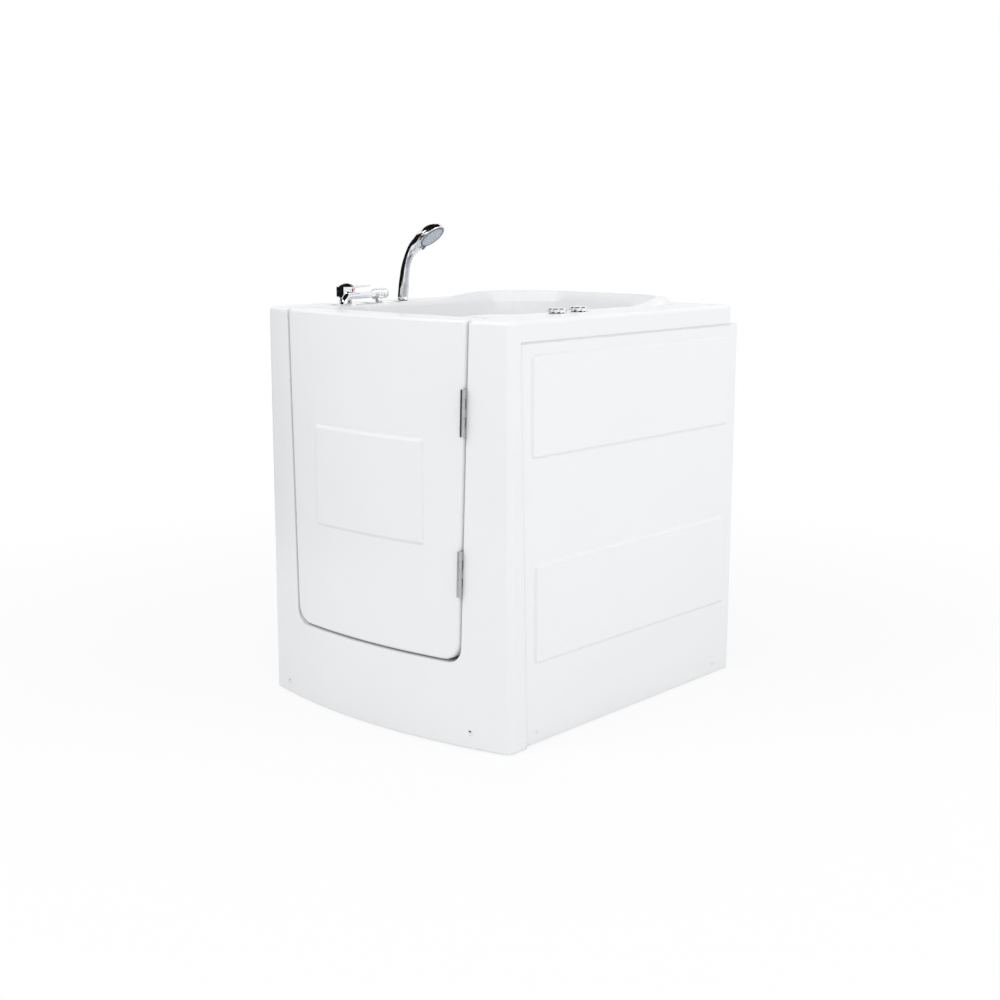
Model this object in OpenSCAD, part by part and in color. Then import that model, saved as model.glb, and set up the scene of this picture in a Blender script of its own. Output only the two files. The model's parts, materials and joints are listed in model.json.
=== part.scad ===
// Walk-in bathtub with an outward-opening door, in millimetres.
// X runs across the tub, -Y is the bowed front with the door, +Z is up, and the floor is z = 0.

/* [Tub shell] */
// Width across the two sides
tub_w = 800; // [760:5:840]
// Depth from the chord of the bowed front to the back of the rim
tub_d = 866; // [830:2:900]
// Height of the rim above the floor
tub_h = 980; // [940:5:1020]
// How far the front bows out beyond its chord
bow_h = 55; // [40:1:70]
// Radius of the two upright front corners
corner_r = 22; // [16:1:30]
// Radius of the rolled edge round the rim
rim_r = 11; // [8:1:14]
// Thickness of the moulded shell
wall = 6; // [4:0.5:8]
// Height of the apron that turns down from the rim
apron_h = 48; // [30:1:70]
// Width of the corner return beside the panel, at its top
return_top = 32; // [25:1:50]
// Width of the corner return beside the panel, at the floor
return_foot = 60; // [50:1:80]
// Gap between the shell or panel and the floor
floor_gap = 4; // [3:1:10]

/* [Basin] */
// Width of the deck beside the basin
deck_side = 146; // [135:1:165]
// Distance from the front chord to the basin's front wall
basin_front = 151; // [140:1:165]
// Width of the deck behind the basin
deck_back = 58; // [50:1:70]
// Inward draft of the basin's sides from the rim down to the floor of the footwell
draft_in = 34; // [20:1:45]
// How far the backrest leans in from the rim down to the seat
recline = 57; // [30:1:80]
// Radius of the basin's front corners
basin_front_r = 65; // [50:1:75]
// Radius of the basin's rear corners
basin_rear_r = 140; // [110:5:160]
// Height of the seat
seat_z = 535; // [500:5:570]
// Distance from the front chord to the front edge of the seat
seat_front = 433; // [410:1:450]
// Radius where the seat meets the walls
seat_r = 40; // [25:1:50]
// Radius round the floor of the footwell
floor_r = 30; // [20:1:40]
// Width of the shoulder between the seat and the footwell
shoulder = 9; // [8:1:14]
// Radius of the seat's front edge
nose_r = 24; // [15:1:30]

/* [Raised lip] */
// Height of the lip behind the bather's shoulders
lip_h = 18; // [12:1:24]
// Width of the lip's band on the deck
lip_w = 50; // [40:1:54]
// Where the lip starts to rise on the tap side, from the front chord
lip_start_left = 433; // [400:1:470]
// Where the lip starts to rise on the panel side, from the front chord
lip_start_right = 610; // [580:1:640]
// Length of the rise on the tap side
lip_ramp_left = 230; // [180:5:260]
// Length of the rise on the panel side
lip_ramp_right = 135; // [110:5:160]

/* [Door] */
// Width of the front beside the door opening's foot
jamb_w = 123.5; // [120:0.5:135]
// Height of the door opening's foot above the floor
door_z = 199; // [190:1:215]
// Lean of the opening's two sides, widening upwards
door_lean = 1.62; // [1:0.02:1.7]
// Radius of the opening's lower corners
door_r = 38; // [30:1:50]
// Depth from the front chord to the face that the door closes against
rebate_depth = 48; // [46:1:52]
// Gap beside the door on the latch side
gap_latch = 3; // [2.5:0.5:4]
// Gap beside the door on the hinge side
gap_hinge = 6.6; // [6.6:0.2:8]
// Gap below the door
gap_foot = 4; // [3:0.5:6]
// Radius of the rounded edges of the door
door_edge_r = 9; // [6:1:12]
// Thickness of the door's outer skin
door_wall = 5; // [4:0.5:6]
// Thickness of the inner skin
liner_t = 6; // [4:0.5:8]
// Thickness of the compressed seal
seal_t = 7; // [6:0.5:8]
// Width of the seal's seat, from the door opening in to the passage
pass_in = 88.5; // [84.5:0.5:96.5]
// Height of the sill that one steps over
sill_z = 235; // [230:1:245]
// Radius of the sill's corners
sill_r = 60; // [40:5:70]
// Half of the width of the raised rectangle on the door
emboss_hw = 176; // [150:1:190]
// Lower edge of the raised rectangle
emboss_z = 466; // [440:1:480]
// Height of the raised rectangle
emboss_len = 243; // [220:1:260]
// How far the raised rectangle stands out
emboss_h = 6; // [4:1:8]

/* [Hinges and latch] */
// Height of the middle of the upper hinge
hinge_top_z = 776; // [750:1:800]
// Height of the middle of the lower hinge
hinge_low_z = 411; // [390:1:430]
// Length of a hinge's barrel
hinge_len = 105; // [95:1:120]
// Diameter of a hinge's barrel
barrel_d = 12; // [11:0.5:13]
// Diameter of a hinge's pin
pin_d = 6; // [5:0.5:7]
// Clearance between pin and knuckle, on the radius
pin_fit = 0.05; // [0.03:0.01:0.08]
// Thickness of a hinge's leaf
leaf_t = 2; // [1.5:0.1:2.4]
// Depth of a hinge's leaf into the gap
leaf_deep = 42; // [34:1:50]
// Height of the latch and its keeper
latch_z = 728; // [715:1:740]
// Height of the keeper strip
keeper_h = 49; // [44:1:60]
// Diameter of the latch bolt
bolt_d = 14; // [12:1:16]
// Distance of the handle's spindle in from the side of the door opening
spindle_in = 111.5; // [108:0.5:117]
// Diameter of the handle's spindle
spindle_d = 10; // [8:1:12]
// Length of the latch handle
handle_len = 112; // [90:1:125]

/* [Side panel] */
// How far the panel's face lies inside the shell's side
panel_inset = 7; // [7:0.5:9]
// Thickness of the panel
panel_t = 4; // [3:0.5:5]
// How far the panel reaches behind the rim
panel_tail = 37; // [25:1:45]
// Shadow gap round the panel
panel_gap = 2; // [1.5:0.5:4]
// Depth of the panel's folded edges
panel_return = 24; // [18:1:26]
// How far the raised rectangles stand out
raise_h = 6; // [4:0.5:6.5]
// Width of the slope round the raised rectangles
raise_slope = 5; // [4:0.5:9]
// Distance from the front chord to the upper rectangle
raise_top_y = 72; // [66:1:80]
// Length of the upper rectangle
raise_top_len = 796; // [780:2:800]
// Depth of the upper rectangle below the panel's top
raise_top_gap = 25; // [20:0.5:40]
// Height of the upper rectangle
raise_top_h = 236; // [220:1:240]
// Distance from the front chord to the lower rectangle
raise_low_y = 88; // [84:1:94]
// Length of the lower rectangle
raise_low_len = 785; // [770:1:790]
// Lower edge of the lower rectangle
raise_low_z = 194; // [180:1:210]
// Height of the lower rectangle
raise_low_h = 238; // [220:1:250]
// Diameter of a cover screw's head
screw_head_d = 11; // [9:0.5:13]
// Diameter of a cover screw's shank
screw_d = 5; // [4:0.5:6]

/* [Frame] */
// Outside size of the square tubes
tube = 30; // [25:1:32]
// Wall of the square tubes
tube_wall = 2; // [1.5:0.5:3]
// Height of the underside of the base frame
foot_h = 45; // [42:1:55]
// Distance of the side rails' centres in from the tub's sides
rail_in = 55; // [50:1:60]
// Distance from the front chord to the front posts
post_front = 21; // [20:1:24]
// Distance of the rear posts from the back of the rim
post_back = 45; // [40:1:55]
// Distance of the front seat bearer behind the seat's front edge
bearer_front = 100; // [60:5:110]
// Distance of the rear seat bearer in front of the backrest's foot
bearer_back = 80; // [60:5:110]
// Thickness of the base board
board_t = 18; // [15:1:20]
// Diameter of a levelling foot's pad
pad_d = 42; // [36:1:50]
// Diameter of a levelling foot's stem
stem_d = 12; // [10:1:14]

/* [Taps] */
// Distance of the row of taps in from the tub's side
tap_in = 88; // [80:1:95]
// Distance from the front chord to the mixer
mixer_y = 182; // [176:1:188]
// Distance from the front chord to the spout
spout_y = 297; // [292:1:305]
// Distance from the front chord to the hand shower
shower_y = 387; // [380:1:395]
// Diameter of the flared foot of mixer and spout
flare_d = 76; // [60:1:80]
// Diameter of the mixer's body
mixer_d = 48; // [44:1:52]
// Length of the mixer's lever
lever_len = 62; // [54:1:72]
// Direction of the lever from +X
lever_turn = 41; // [30:1:50]
// Reach of the spout
spout_reach = 188; // [170:1:195]
// Direction of the spout from -Y towards the basin
spout_turn = 19; // [19:1:26]
// Diameter of the spout's tube
spout_d = 17; // [14:1:18]
// Height of the spout's tube above the deck
spout_z = 23; // [22:1:26]
// Diameter of the hand shower's holder
holder_d = 37; // [32:1:42]
// Diameter of the shower handle
handle_d = 25; // [23:1:27]
// Diameter of the shower head
head_d = 79; // [72:1:84]
// Turn of the shower in its holder, in degrees
shower_turn = 10; // [0:1:20]
// Diameter of the threaded shanks under the deck
shank_d = 21; // [18:1:24]

/* [Water jets] */
// Distance of the air controls in from the tub's side
knob_in = 108; // [100:1:112]
// Distance from the front chord to the first air control
knob_y = 286; // [270:1:300]
// Spacing of the two air controls
knob_pitch = 81; // [70:1:95]
// Diameter of an air control knob
knob_d = 44; // [38:1:46]
// Height of an air control knob
knob_h = 11; // [9:1:14]
// Scallops round a knob
knob_lobes = 9; // [7:1:11]
// Diameter of a jet's face
jet_d = 64; // [50:1:70]
// Height of the two jets in the backrest
back_jet_z = 700; // [670:1:730]
// Height of the two jets over the footwell
foot_jet_z = 330; // [300:1:360]
// Distance of a jet from the middle of the tub
jet_x = 80; // [70:1:82]
// Diameter of the water pipes
pipe_d = 32; // [28:1:36]
// Diameter of the air pipes
air_d = 16; // [12:1:18]
// Diameter of the suction cover
suction_d = 96; // [80:1:110]
// Diameter of the pump
pump_d = 124; // [110:1:130]
// Height of the pump above its board
pump_foot = 23; // [18:1:30]
// Distance of the pump behind the seat's front edge
pump_back = 175; // [170:1:180]
// Distance of the pump from the middle of the tub
pump_off = 70; // [60:1:76]
// Length of the pump's motor
motor_len = 175; // [150:5:200]
// Rise of the pipe from the lower jets to the upper ones
manifold_rise = 95; // [85:1:105]
// Height of the suction fitting
suction_z = 205; // [195:1:215]

/* [Drain] */
// Distance from the front chord to the drain
drain_y = 290; // [280:1:300]
// Diameter of the drain flange
flange_d = 72; // [64:1:80]
// Bore of the drain
drain_bore = 38; // [34:1:40]
// Travel of the plug
plug_lift = 12; // [10:1:14]
// Depth of the overflow below the rim
overflow_drop = 120; // [100:1:140]
// Distance from the front chord to the overflow
overflow_y = 330; // [315:1:345]
// Diameter of the overflow plate
overflow_d = 70; // [60:1:76]
// Outer diameter of the waste outlet
outlet_d = 40; // [38:1:42]

/* [Hidden] */
$fn = 48;
// Thickness of the slices that hull() joins
slice = 0.02;
// Overshoot of cutting tools
cut = 1;
// Distance that keeps a seated piece clear of its seat
seat_gap = 0.3;
// Faces of hulled rods and balls
smooth = 32;
ball = 24;

// Places along Y: the whole tub is centred on the origin
front_y = emboss_h - (emboss_h + bow_h + tub_d + panel_tail) / 2;
chord_y = front_y + bow_h;
rear_y = chord_y + tub_d;
tail_y = rear_y + panel_tail;
basin_y0 = chord_y + basin_front;
basin_y1 = rear_y - deck_back;
seat_y = chord_y + seat_front;
rebate_y = chord_y + rebate_depth;

// The bowed front is an arc through the apex and the two ends of the chord
half_w = tub_w / 2;
basin_hw = half_w - deck_side;
door_hw = half_w - jamb_w;
pass_hw = door_hw - pass_in;
spindle_x = door_hw - spindle_in;
rail_x = half_w - rail_in;
tap_x = half_w - tap_in;
knob_x = half_w - knob_in;
bow_r = (half_w * half_w + bow_h * bow_h) / (2 * bow_h);
bow_cy = front_y + bow_r;
function bow_y(x, inset = 0) = bow_cy - sqrt(pow(bow_r - inset, 2) - x * x);

// Levels
board_z = foot_h + tube;
pan_z = board_z + board_t;
floor_z = pan_z + wall;
deck_z = tub_h - wall;
apron_z = tub_h - apron_h;
panel_x = half_w - panel_inset;
overflow_z = tub_h - overflow_drop;
raise_top_z = apron_z - panel_gap - raise_top_gap - raise_top_h;

// Points of an arc about (cx, cy) from angle a0 to a1
function arc(cx, cy, r, a0, a1, n) =
  [for (i = [0 : n]) let (a = a0 + (a1 - a0) * i / n) [cx + r * cos(a), cy + r * sin(a)]];

// A smooth step from 0 to 1
function ease(t) = let (u = min(max(t, 0), 1)) u * u * (3 - 2 * u);

// Plan of the tub, drawn in by a distance
rear_r = 15;
function outline(inset = 0) =
  let (
    cx = half_w - corner_r,
    cy = bow_cy - sqrt(pow(bow_r - corner_r, 2) - cx * cx),
    spread = asin(cx / (bow_r - corner_r)),
    r = corner_r - inset,
    rr = rear_r - inset
  )
  concat(
    arc(0, bow_cy, bow_r - inset, -90 - spread, -90 + spread, 26),
    arc(cx, cy, r, -90 + spread, 0, 6),
    arc(half_w - rear_r, rear_y - rear_r, rr, 0, 90, 4),
    arc(rear_r - half_w, rear_y - rear_r, rr, 90, 180, 4),
    arc(-cx, cy, r, 180, 270 - spread, 6)
  );

// Rounded rectangle between two Y values, symmetric about the YZ plane
function round_plan(hw, y0, y1, r0, r1) = concat(
  arc(hw - r0, y0 + r0, r0, -90, 0, 6),
  arc(hw - r1, y1 - r1, r1, 0, 90, 9),
  arc(r1 - hw, y1 - r1, r1, 90, 180, 9),
  arc(r0 - hw, y0 + r0, r0, 180, 270, 6)
);

// Draft of the basin's walls at a height, and lean of the backrest
function draft(z) = draft_in * (tub_h - z) / (tub_h - floor_z);
function lean_in(z) = recline * (tub_h - z) / (tub_h - seat_z);
draft_deg = atan(draft_in / (tub_h - floor_z));
recline_deg = atan((recline + draft(seat_z)) / (tub_h - seat_z));

// Radius of a corner that moves with the wall
least_r = 8;
function corner(r, inset) = max(r - inset, least_r);

module basin_slice(z, inset) {
  translate([0, 0, z])
    linear_extrude(slice)
      polygon(round_plan(basin_hw - inset, basin_y0 + inset, basin_y1 - inset - lean_in(z),
        corner(basin_front_r, inset), corner(basin_rear_r, inset)));
}

// Upper part of the basin, from the seat to above the rim; grow makes its outer side
module seat_hollow(grow = 0) {
  mid_z = seat_z + seat_r;
  edge = draft(mid_z);
  hull() {
    for (a = [0 : 22.5 : 90])
      basin_slice(mid_z - (seat_r + grow) * sin(a), edge + seat_r - (seat_r + grow) * cos(a));
    top_z = grow > 0 ? tub_h - wall / 2 : tub_h + lip_h + cut;
    basin_slice(top_z, draft(top_z) - grow);
  }
}

// Eased inner edge of the rim and of the lip
module rim_flare() {
  hull() {
    basin_slice(tub_h - rim_r, draft(tub_h - rim_r) - slice);
    basin_slice(tub_h + lip_h + cut, -rim_r);
  }
}

// Lower part of the basin in front of the seat
foot_rear_r = 30;
module footwell_slice(z, inset) {
  translate([0, 0, z])
    linear_extrude(slice)
      polygon(round_plan(basin_hw - inset, basin_y0 + inset, seat_y + shoulder - inset + draft(floor_z),
        corner(basin_front_r, inset), corner(foot_rear_r, inset - draft(floor_z))));
}

module footwell_hollow(grow = 0) {
  mid_z = floor_z + floor_r;
  edge = draft(mid_z) + shoulder;
  top_z = seat_z + seat_r;
  hull() {
    for (a = [0 : 22.5 : 90])
      footwell_slice(mid_z - (floor_r + grow) * sin(a), edge + floor_r - (floor_r + grow) * cos(a));
    footwell_slice(top_z, draft(top_z) + shoulder - grow);
  }
}

// Y of the riser below the seat's front edge, at a height
function riser_y(z) = seat_y + draft(floor_z) - draft(z);
riser_deg = draft_deg;

// Outline of the door opening in XZ, drawn in from its two sides and its foot
function door_side(z) = door_hw + (z - door_z) * tan(door_lean);
function door_plan(left, right, foot, top) =
  let (
    z0 = door_z + foot,
    cz = z0 + door_r,
    xr = door_side(cz) - (right + door_r) / cos(door_lean),
    xl = door_side(cz) - (left + door_r) / cos(door_lean)
  )
  concat(
    arc(xr, cz, door_r, -90, -door_lean, 6),
    [[door_side(top) - right / cos(door_lean), top], [-door_side(top) + left / cos(door_lean), top]],
    arc(-xl, cz, door_r, 180 + door_lean, 270, 6)
  );

// Outline of the passage over the sill in XZ, grown by a distance
function pass_side(z) = pass_hw + (z - sill_z) * tan(door_lean);
function pass_plan(grow, top) =
  let (r = sill_r + grow, cz = sill_z + sill_r, cx = pass_side(cz) - sill_r / cos(door_lean))
  concat(
    arc(cx, cz, r, -90, -door_lean, 6),
    [[pass_side(top) + grow / cos(door_lean), top], [-pass_side(top) - grow / cos(door_lean), top]],
    arc(-cx, cz, r, 180 + door_lean, 270, 6)
  );

// An outline in XZ pushed from y0 to y1
module push_y(points, y0, y1) {
  translate([0, y1, 0])
    rotate([90, 0, 0])
      linear_extrude(y1 - y0)
        polygon(points);
}

// --- tub shell

// Outside of the tub with its rolled rim
module tub_block() {
  hull() {
    translate([0, 0, floor_gap])
      linear_extrude(tub_h - rim_r - floor_gap)
        polygon(outline());
    for (a = [22.5 : 22.5 : 90])
      translate([0, 0, tub_h - rim_r + rim_r * sin(a) - slice])
        linear_extrude(slice)
          polygon(outline(rim_r * (1 - cos(a))));
  }
}

// The skin: front skirt with its corner returns, deck and apron
module tub_skin() {
  open_y = [[chord_y + return_foot, 0], [chord_y + return_top, apron_z], [tail_y, apron_z], [tail_y, 0]];
  difference() {
    tub_block();
    linear_extrude(deck_z)
      polygon(outline(wall));
    rotate([90, 0, 90])
      translate([0, 0, -tub_w])
        linear_extrude(2 * tub_w)
          polygon(open_y);
  }
}

// Raised lip behind the bather: one section swept round the basin's edge
lip_profile = [[-14, -0.3], [-14, 0.85], [2, 0.93], [9, 1], [lip_w * 0.55, 0.99], [lip_w * 0.75, 0.9],
  [lip_w * 0.88, 0.68], [lip_w * 0.96, 0.38], [lip_w, 0.05], [lip_w, -0.3]];
function lip_rise(p) =
  let (
    start = chord_y + (p[0] < 0 ? lip_start_left : lip_start_right),
    run = p[0] < 0 ? lip_ramp_left : lip_ramp_right
  )
  ease((p[1] - start) / run);
function lip_station(p, n) =
  let (low = 1, h = lip_rise(p) * (lip_h + low) - low)
  [for (q = lip_profile) [p[0] + n[0] * q[0], p[1] + n[1] * q[0],
    tub_h + (q[1] < 0 ? -wall / 2 : h < 0 ? h : h * q[1])]];

module raised_lip() {
  arc_y = basin_y1 - basin_rear_r;
  arc_x = basin_hw - basin_rear_r;
  start_r = chord_y + lip_start_right;
  start_l = chord_y + lip_start_left;
  steps_r = 4;
  steps_l = 12;
  turns = 9;
  right = [for (i = [0 : steps_r - 1]) [[basin_hw, start_r + (arc_y - start_r) * i / steps_r], [1, 0]]];
  corner_right = [for (i = [0 : turns]) let (a = 90 * i / turns)
    [[arc_x + basin_rear_r * cos(a), arc_y + basin_rear_r * sin(a)], [cos(a), sin(a)]]];
  corner_left = [for (s = corner_right) [[-s[0][0], s[0][1]], [-s[1][0], s[1][1]]]];
  left = [for (i = [0 : steps_l - 1]) [[-basin_hw, start_l + (arc_y - start_l) * i / steps_l], [-1, 0]]];
  path = concat(right, corner_right, [for (i = [turns : -1 : 0]) corner_left[i]],
    [for (i = [steps_l - 1 : -1 : 0]) left[i]]);
  m = len(lip_profile);
  count = len(path);
  points = [for (s = path) each lip_station(s[0], s[1])];
  sides = [for (i = [0 : count - 2], j = [0 : m - 1]) let (k = (j + 1) % m)
    each [[i * m + j, (i + 1) * m + k, i * m + k], [i * m + j, (i + 1) * m + j, (i + 1) * m + k]]];
  first = [for (j = [0 : m - 1]) j];
  last = [for (j = [m - 1 : -1 : 0]) (count - 1) * m + j];
  polyhedron(points, concat(sides, [first], [last]), convexity = 6);
}

// Walls of the door pocket and of the passage, inside the bowed front
module door_frame() {
  intersection() {
    translate([0, 0, floor_gap + cut])
      linear_extrude(tub_h - wall / 2 - floor_gap - cut)
        polygon(outline(cut));
    union() {
      push_y(door_plan(-wall, -wall, -wall, tub_h), front_y, rebate_y + wall);
      push_y(pass_plan(wall, tub_h), rebate_y, basin_y0 + basin_front_r - cut);
    }
  }
}

// Thick bead under the seat's front edge, so that the edge can be rounded
nose_hw = basin_hw - draft(seat_z) - shoulder - foot_rear_r;
module seat_nose() {
  translate([-nose_hw - cut, riser_y(seat_z) + cut, seat_z - wall - nose_r])
    cube([2 * (nose_hw + cut), nose_r + wall, nose_r + wall - cut]);
}

module nose_cut() {
  y0 = riser_y(seat_z);
  difference() {
    translate([-nose_hw, y0 - cut, seat_z - nose_r])
      cube([2 * nose_hw, nose_r + cut, nose_r + cut]);
    translate([-nose_hw - cut, y0 + nose_r, seat_z - nose_r])
      rotate([0, 90, 0])
        cylinder(h = 2 * (nose_hw + cut), r = nose_r);
  }
}

module tub_shell() {
  color("white")
    difference() {
      union() {
        tub_skin();
        seat_hollow(wall);
        footwell_hollow(wall);
        door_frame();
        seat_nose();
        raised_lip();
      }
      seat_hollow();
      rim_flare();
      footwell_hollow();
      nose_cut();
      push_y(door_plan(0, 0, 0, tub_h + lip_h), front_y - cut, rebate_y);
      push_y(pass_plan(0, tub_h + lip_h), rebate_y - cut, basin_y0 + basin_front_r);
      shell_holes();
    }
}

// Everything that is drilled through the shell
module shell_holes() {
  for (y = [mixer_y, spout_y, shower_y])
    translate([-tap_x, chord_y + y, deck_z - cut])
      cylinder(h = wall + 2 * cut, d = shank_d + 1);
  for (i = [0, 1])
    translate([knob_x, chord_y + knob_y + i * knob_pitch, deck_z - cut])
      cylinder(h = wall + 2 * cut, d = valve_d + 1);
  translate([0, chord_y + drain_y, pan_z - cut])
    cylinder(h = wall + 2 * cut, d = drain_body_d + 1);
  on_side_wall()
    translate([0, 0, -2 * wall])
      cylinder(h = 3 * wall, d = overflow_body_d + 1);
  jet_places()
    translate([0, 0, -2 * wall])
      cylinder(h = 3 * wall, d = jet_body_d + 1);
  on_riser(0, suction_z)
    translate([0, 0, -2 * wall])
      cylinder(h = 3 * wall, d = pipe_d + 1);
  skirt_screw_places()
    translate([0, 0, -2 * wall])
      cylinder(h = 3 * wall, d = screw_d + 1);
  keeper_place()
    cube([4 * wall, bolt_d + 2, bolt_d + 2], center = true);
}

// --- door

door_back = rebate_y - seal_t;
leaf_top = tub_h;

// The plan of the door, bowed as the tub is
module bow_slab(out, y_back, top) {
  linear_extrude(top)
    polygon(concat(
      arc(0, bow_cy, bow_r + out, -90 - bow_spread, -90 + bow_spread, 20),
      [[bow_r * sin(bow_spread), y_back], [-bow_r * sin(bow_spread), y_back]]));
}
bow_spread = asin((door_hw + (tub_h - door_z) * tan(door_lean) + 2 * wall) / bow_r);

// Bevel along the latch edge, which lets the door's inner corner swing past the jamb
bevel = 4.5;
module latch_bevel() {
  mid = (door_z + tub_h) / 2;
  depth = door_back - bow_y(door_side(mid));
  translate([-door_side(mid) + gap_latch, bow_y(door_side(mid)) + door_edge_r, mid])
    rotate([0, -door_lean, 0])
      rotate([0, 0, -atan(bevel / (depth - door_edge_r))])
        translate([-4 * door_edge_r, 0, -tub_h])
          cube([4 * door_edge_r, 2 * depth, 2 * tub_h]);
}

module door_shell() {
  r = door_edge_r;
  plate_y = door_back - liner_t;
  color("white")
    difference() {
      union() {
        intersection() {
          minkowski() {
            intersection() {
              push_y(door_plan(gap_latch + r, gap_hinge + r, gap_foot + r, leaf_top - r),
                front_y - cut, rebate_y);
              bow_slab(-r, rebate_y, leaf_top);
            }
            sphere(r = r, $fn = 24);
          }
          translate([-half_w, front_y - cut, 0])
            cube([tub_w, plate_y - front_y + cut, 2 * tub_h]);
        }
        hull() {
          raised_strip(0, 0);
          raised_strip(emboss_h, emboss_h * 1.4);
        }
      }
      intersection() {
        push_y(door_plan(gap_latch + 2 * door_wall, gap_hinge + door_wall, gap_foot + door_wall,
          leaf_top - door_wall), front_y, rebate_y);
        bow_slab(-door_wall - cut, rebate_y, tub_h);
      }
      latch_bevel();
      translate([-door_side(latch_z), latch_y, latch_z])
        rotate([0, 90, 0])
          cylinder(h = 8 * wall, d = bolt_d + 1, center = true);
    }
}

// One layer of the raised rectangle, bowed and drawn in
module raised_strip(out, inset) {
  intersection() {
    bow_slab(out, front_y + bow_h, tub_h);
    translate([inset - emboss_hw, front_y - emboss_h - cut, emboss_z + inset])
      cube([2 * (emboss_hw - inset), bow_h + emboss_h, emboss_len - 2 * inset]);
  }
}

module door_liner() {
  color("white")
    difference() {
      push_y(door_plan(gap_latch, gap_hinge, gap_foot, leaf_top - door_edge_r / 2),
        door_back - liner_t, door_back);
      latch_bevel();
      translate([-spindle_x, door_back, latch_z])
        rotate([90, 0, 0])
          cylinder(h = 4 * liner_t, d = spindle_d + 2 * seat_gap, center = true);
    }
}

// The seal follows the passage: up both sides and under the sill
seal_in = 6;
seal_w = 14;
module door_seal() {
  color("dimgray")
    difference() {
      push_y(pass_plan(seal_in + seal_w, leaf_top - 2 * door_edge_r), door_back, rebate_y);
      push_y(pass_plan(seal_in, tub_h), door_back - cut, rebate_y + cut);
      push_y(pass_plan(seal_in + seal_w / 2 + 2, tub_h),
        door_back + seal_t * 0.35, door_back + seal_t * 0.65);
    }
}

// --- hinges

// The hinge axis leans with the edge of the door, just proud of the bowed face
axis_z = (hinge_top_z + hinge_low_z) / 2;
axis_x = door_side(axis_z) - gap_hinge / 2;
axis_y = bow_y(axis_x) - barrel_d / 2 - 2;
knuckles = 5;
knuckle_gap = 0.4;
knuckle_len = (hinge_len - (knuckles - 1) * knuckle_gap) / knuckles;

module hinge_places() {
  translate([axis_x, axis_y, axis_z])
    rotate([0, door_lean, 0])
      for (z = [hinge_low_z, hinge_top_z])
        translate([0, 0, (z - axis_z) / cos(door_lean)])
          children();
}

module knuckle(i) {
  translate([0, 0, (knuckle_len + knuckle_gap) * i - hinge_len / 2])
    cylinder(h = knuckle_len, d = barrel_d);
}

// One leaf with its knuckles; the notches clear the knuckles of the other leaf
module hinge_leaf(side, own, other) {
  face = gap_hinge / 2;
  difference() {
    union() {
      translate([side > 0 ? face - leaf_t : -face, 0, -hinge_len / 2])
        cube([leaf_t, leaf_deep, hinge_len]);
      for (i = own)
        knuckle(i);
    }
    cylinder(h = 2 * hinge_len, d = pin_d + 2 * pin_fit, center = true);
    for (i = other)
      translate([-barrel_d, -barrel_d, (knuckle_len + knuckle_gap) * i - hinge_len / 2 - knuckle_gap])
        cube([2 * barrel_d, 1.6 * barrel_d, knuckle_len + 2 * knuckle_gap]);
  }
}

module hinge_frame_leaves() {
  color("silver")
    hinge_places()
      hinge_leaf(1, [0, 2, 4], [1, 3]);
}

module hinge_door_leaves() {
  color("silver")
    hinge_places()
      hinge_leaf(-1, [1, 3], [0, 2, 4]);
}

module hinge_pins() {
  color("gray")
    hinge_places()
      translate([0, 0, -hinge_len / 2])
        cylinder(h = hinge_len, d = pin_d);
}

// --- latch

latch_y = door_back - liner_t - 26;
case_t = 30;
case_h = 96;
bolt_throw = 14;
keeper_t = 1.5;
case_x0 = -door_side(latch_z) + gap_latch + 3 * door_wall;
case_x1 = -spindle_x + 22;

module keeper_place() {
  translate([-door_side(latch_z), latch_y, latch_z])
    rotate([0, -door_lean, 0])
      children();
}

module latch_case() {
  y0 = latch_y - case_t / 2;
  color("gray")
    difference() {
      translate([case_x0, y0, latch_z - case_h / 2])
        cube([case_x1 - case_x0, door_back - liner_t - y0, case_h]);
      translate([-spindle_x, door_back, latch_z])
        rotate([90, 0, 0])
          cylinder(h = door_back - latch_y + spindle_d, d = spindle_d + 2 * seat_gap);
      translate([case_x0 - cut, latch_y, latch_z])
        rotate([0, 90, 0])
          cylinder(h = bolt_len + cut, d = bolt_d + 2 * seat_gap);
    }
}

bolt_len = 66;
module latch_bolt() {
  color("silver")
    translate([-door_side(latch_z) + gap_latch + 2, latch_y, latch_z])
      rotate([0, 90, 0]) {
        cylinder(h = bolt_len, d = bolt_d);
      }
}

// Lever, rose and spindle; the lever hangs down while the door is unlatched
module latch_handle() {
  lever_y = door_back + 34;
  color("silver")
    translate([-spindle_x, 0, latch_z]) {
      translate([0, door_back + seat_gap, 0])
        rotate([-90, 0, 0])
          cylinder(h = 8, d = 50);
      translate([0, latch_y + seat_gap, 0])
        rotate([-90, 0, 0])
          cylinder(h = lever_y - latch_y, d = spindle_d);
      translate([0, door_back + 4, 0])
        rotate([-90, 0, 0])
          cylinder(h = lever_y - door_back, d = 20);
      hull()
        for (z = [0, 12 - handle_len])
          translate([0, lever_y + 4, z])
            rotate([90, 0, 0])
              cylinder(h = 12, d = z < 0 ? 17 : 24, center = true, $fn = smooth);
    }
}

module latch_keeper() {
  depth = 40;
  color("black")
    keeper_place()
      difference() {
        translate([0, -depth / 2, -keeper_h / 2])
          cube([keeper_t, depth, keeper_h]);
        cube([4 * keeper_t, bolt_d + 2, bolt_d + 2], center = true);
      }
}

// --- side panel

panel_y0 = chord_y + return_top + panel_gap;
panel_lean = atan((return_foot - return_top) / apron_z);

// Face of the panel in YZ; its front edge leans with the corner return
function panel_face(inset) =
  let (foot = floor_gap + inset, top = apron_z - panel_gap - inset, side = tan(panel_lean))
  [[panel_y0 + inset + (apron_z - foot) * side, foot], [tail_y - inset, foot],
    [tail_y - inset, top], [panel_y0 + inset + (apron_z - top) * side, top]];

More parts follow.
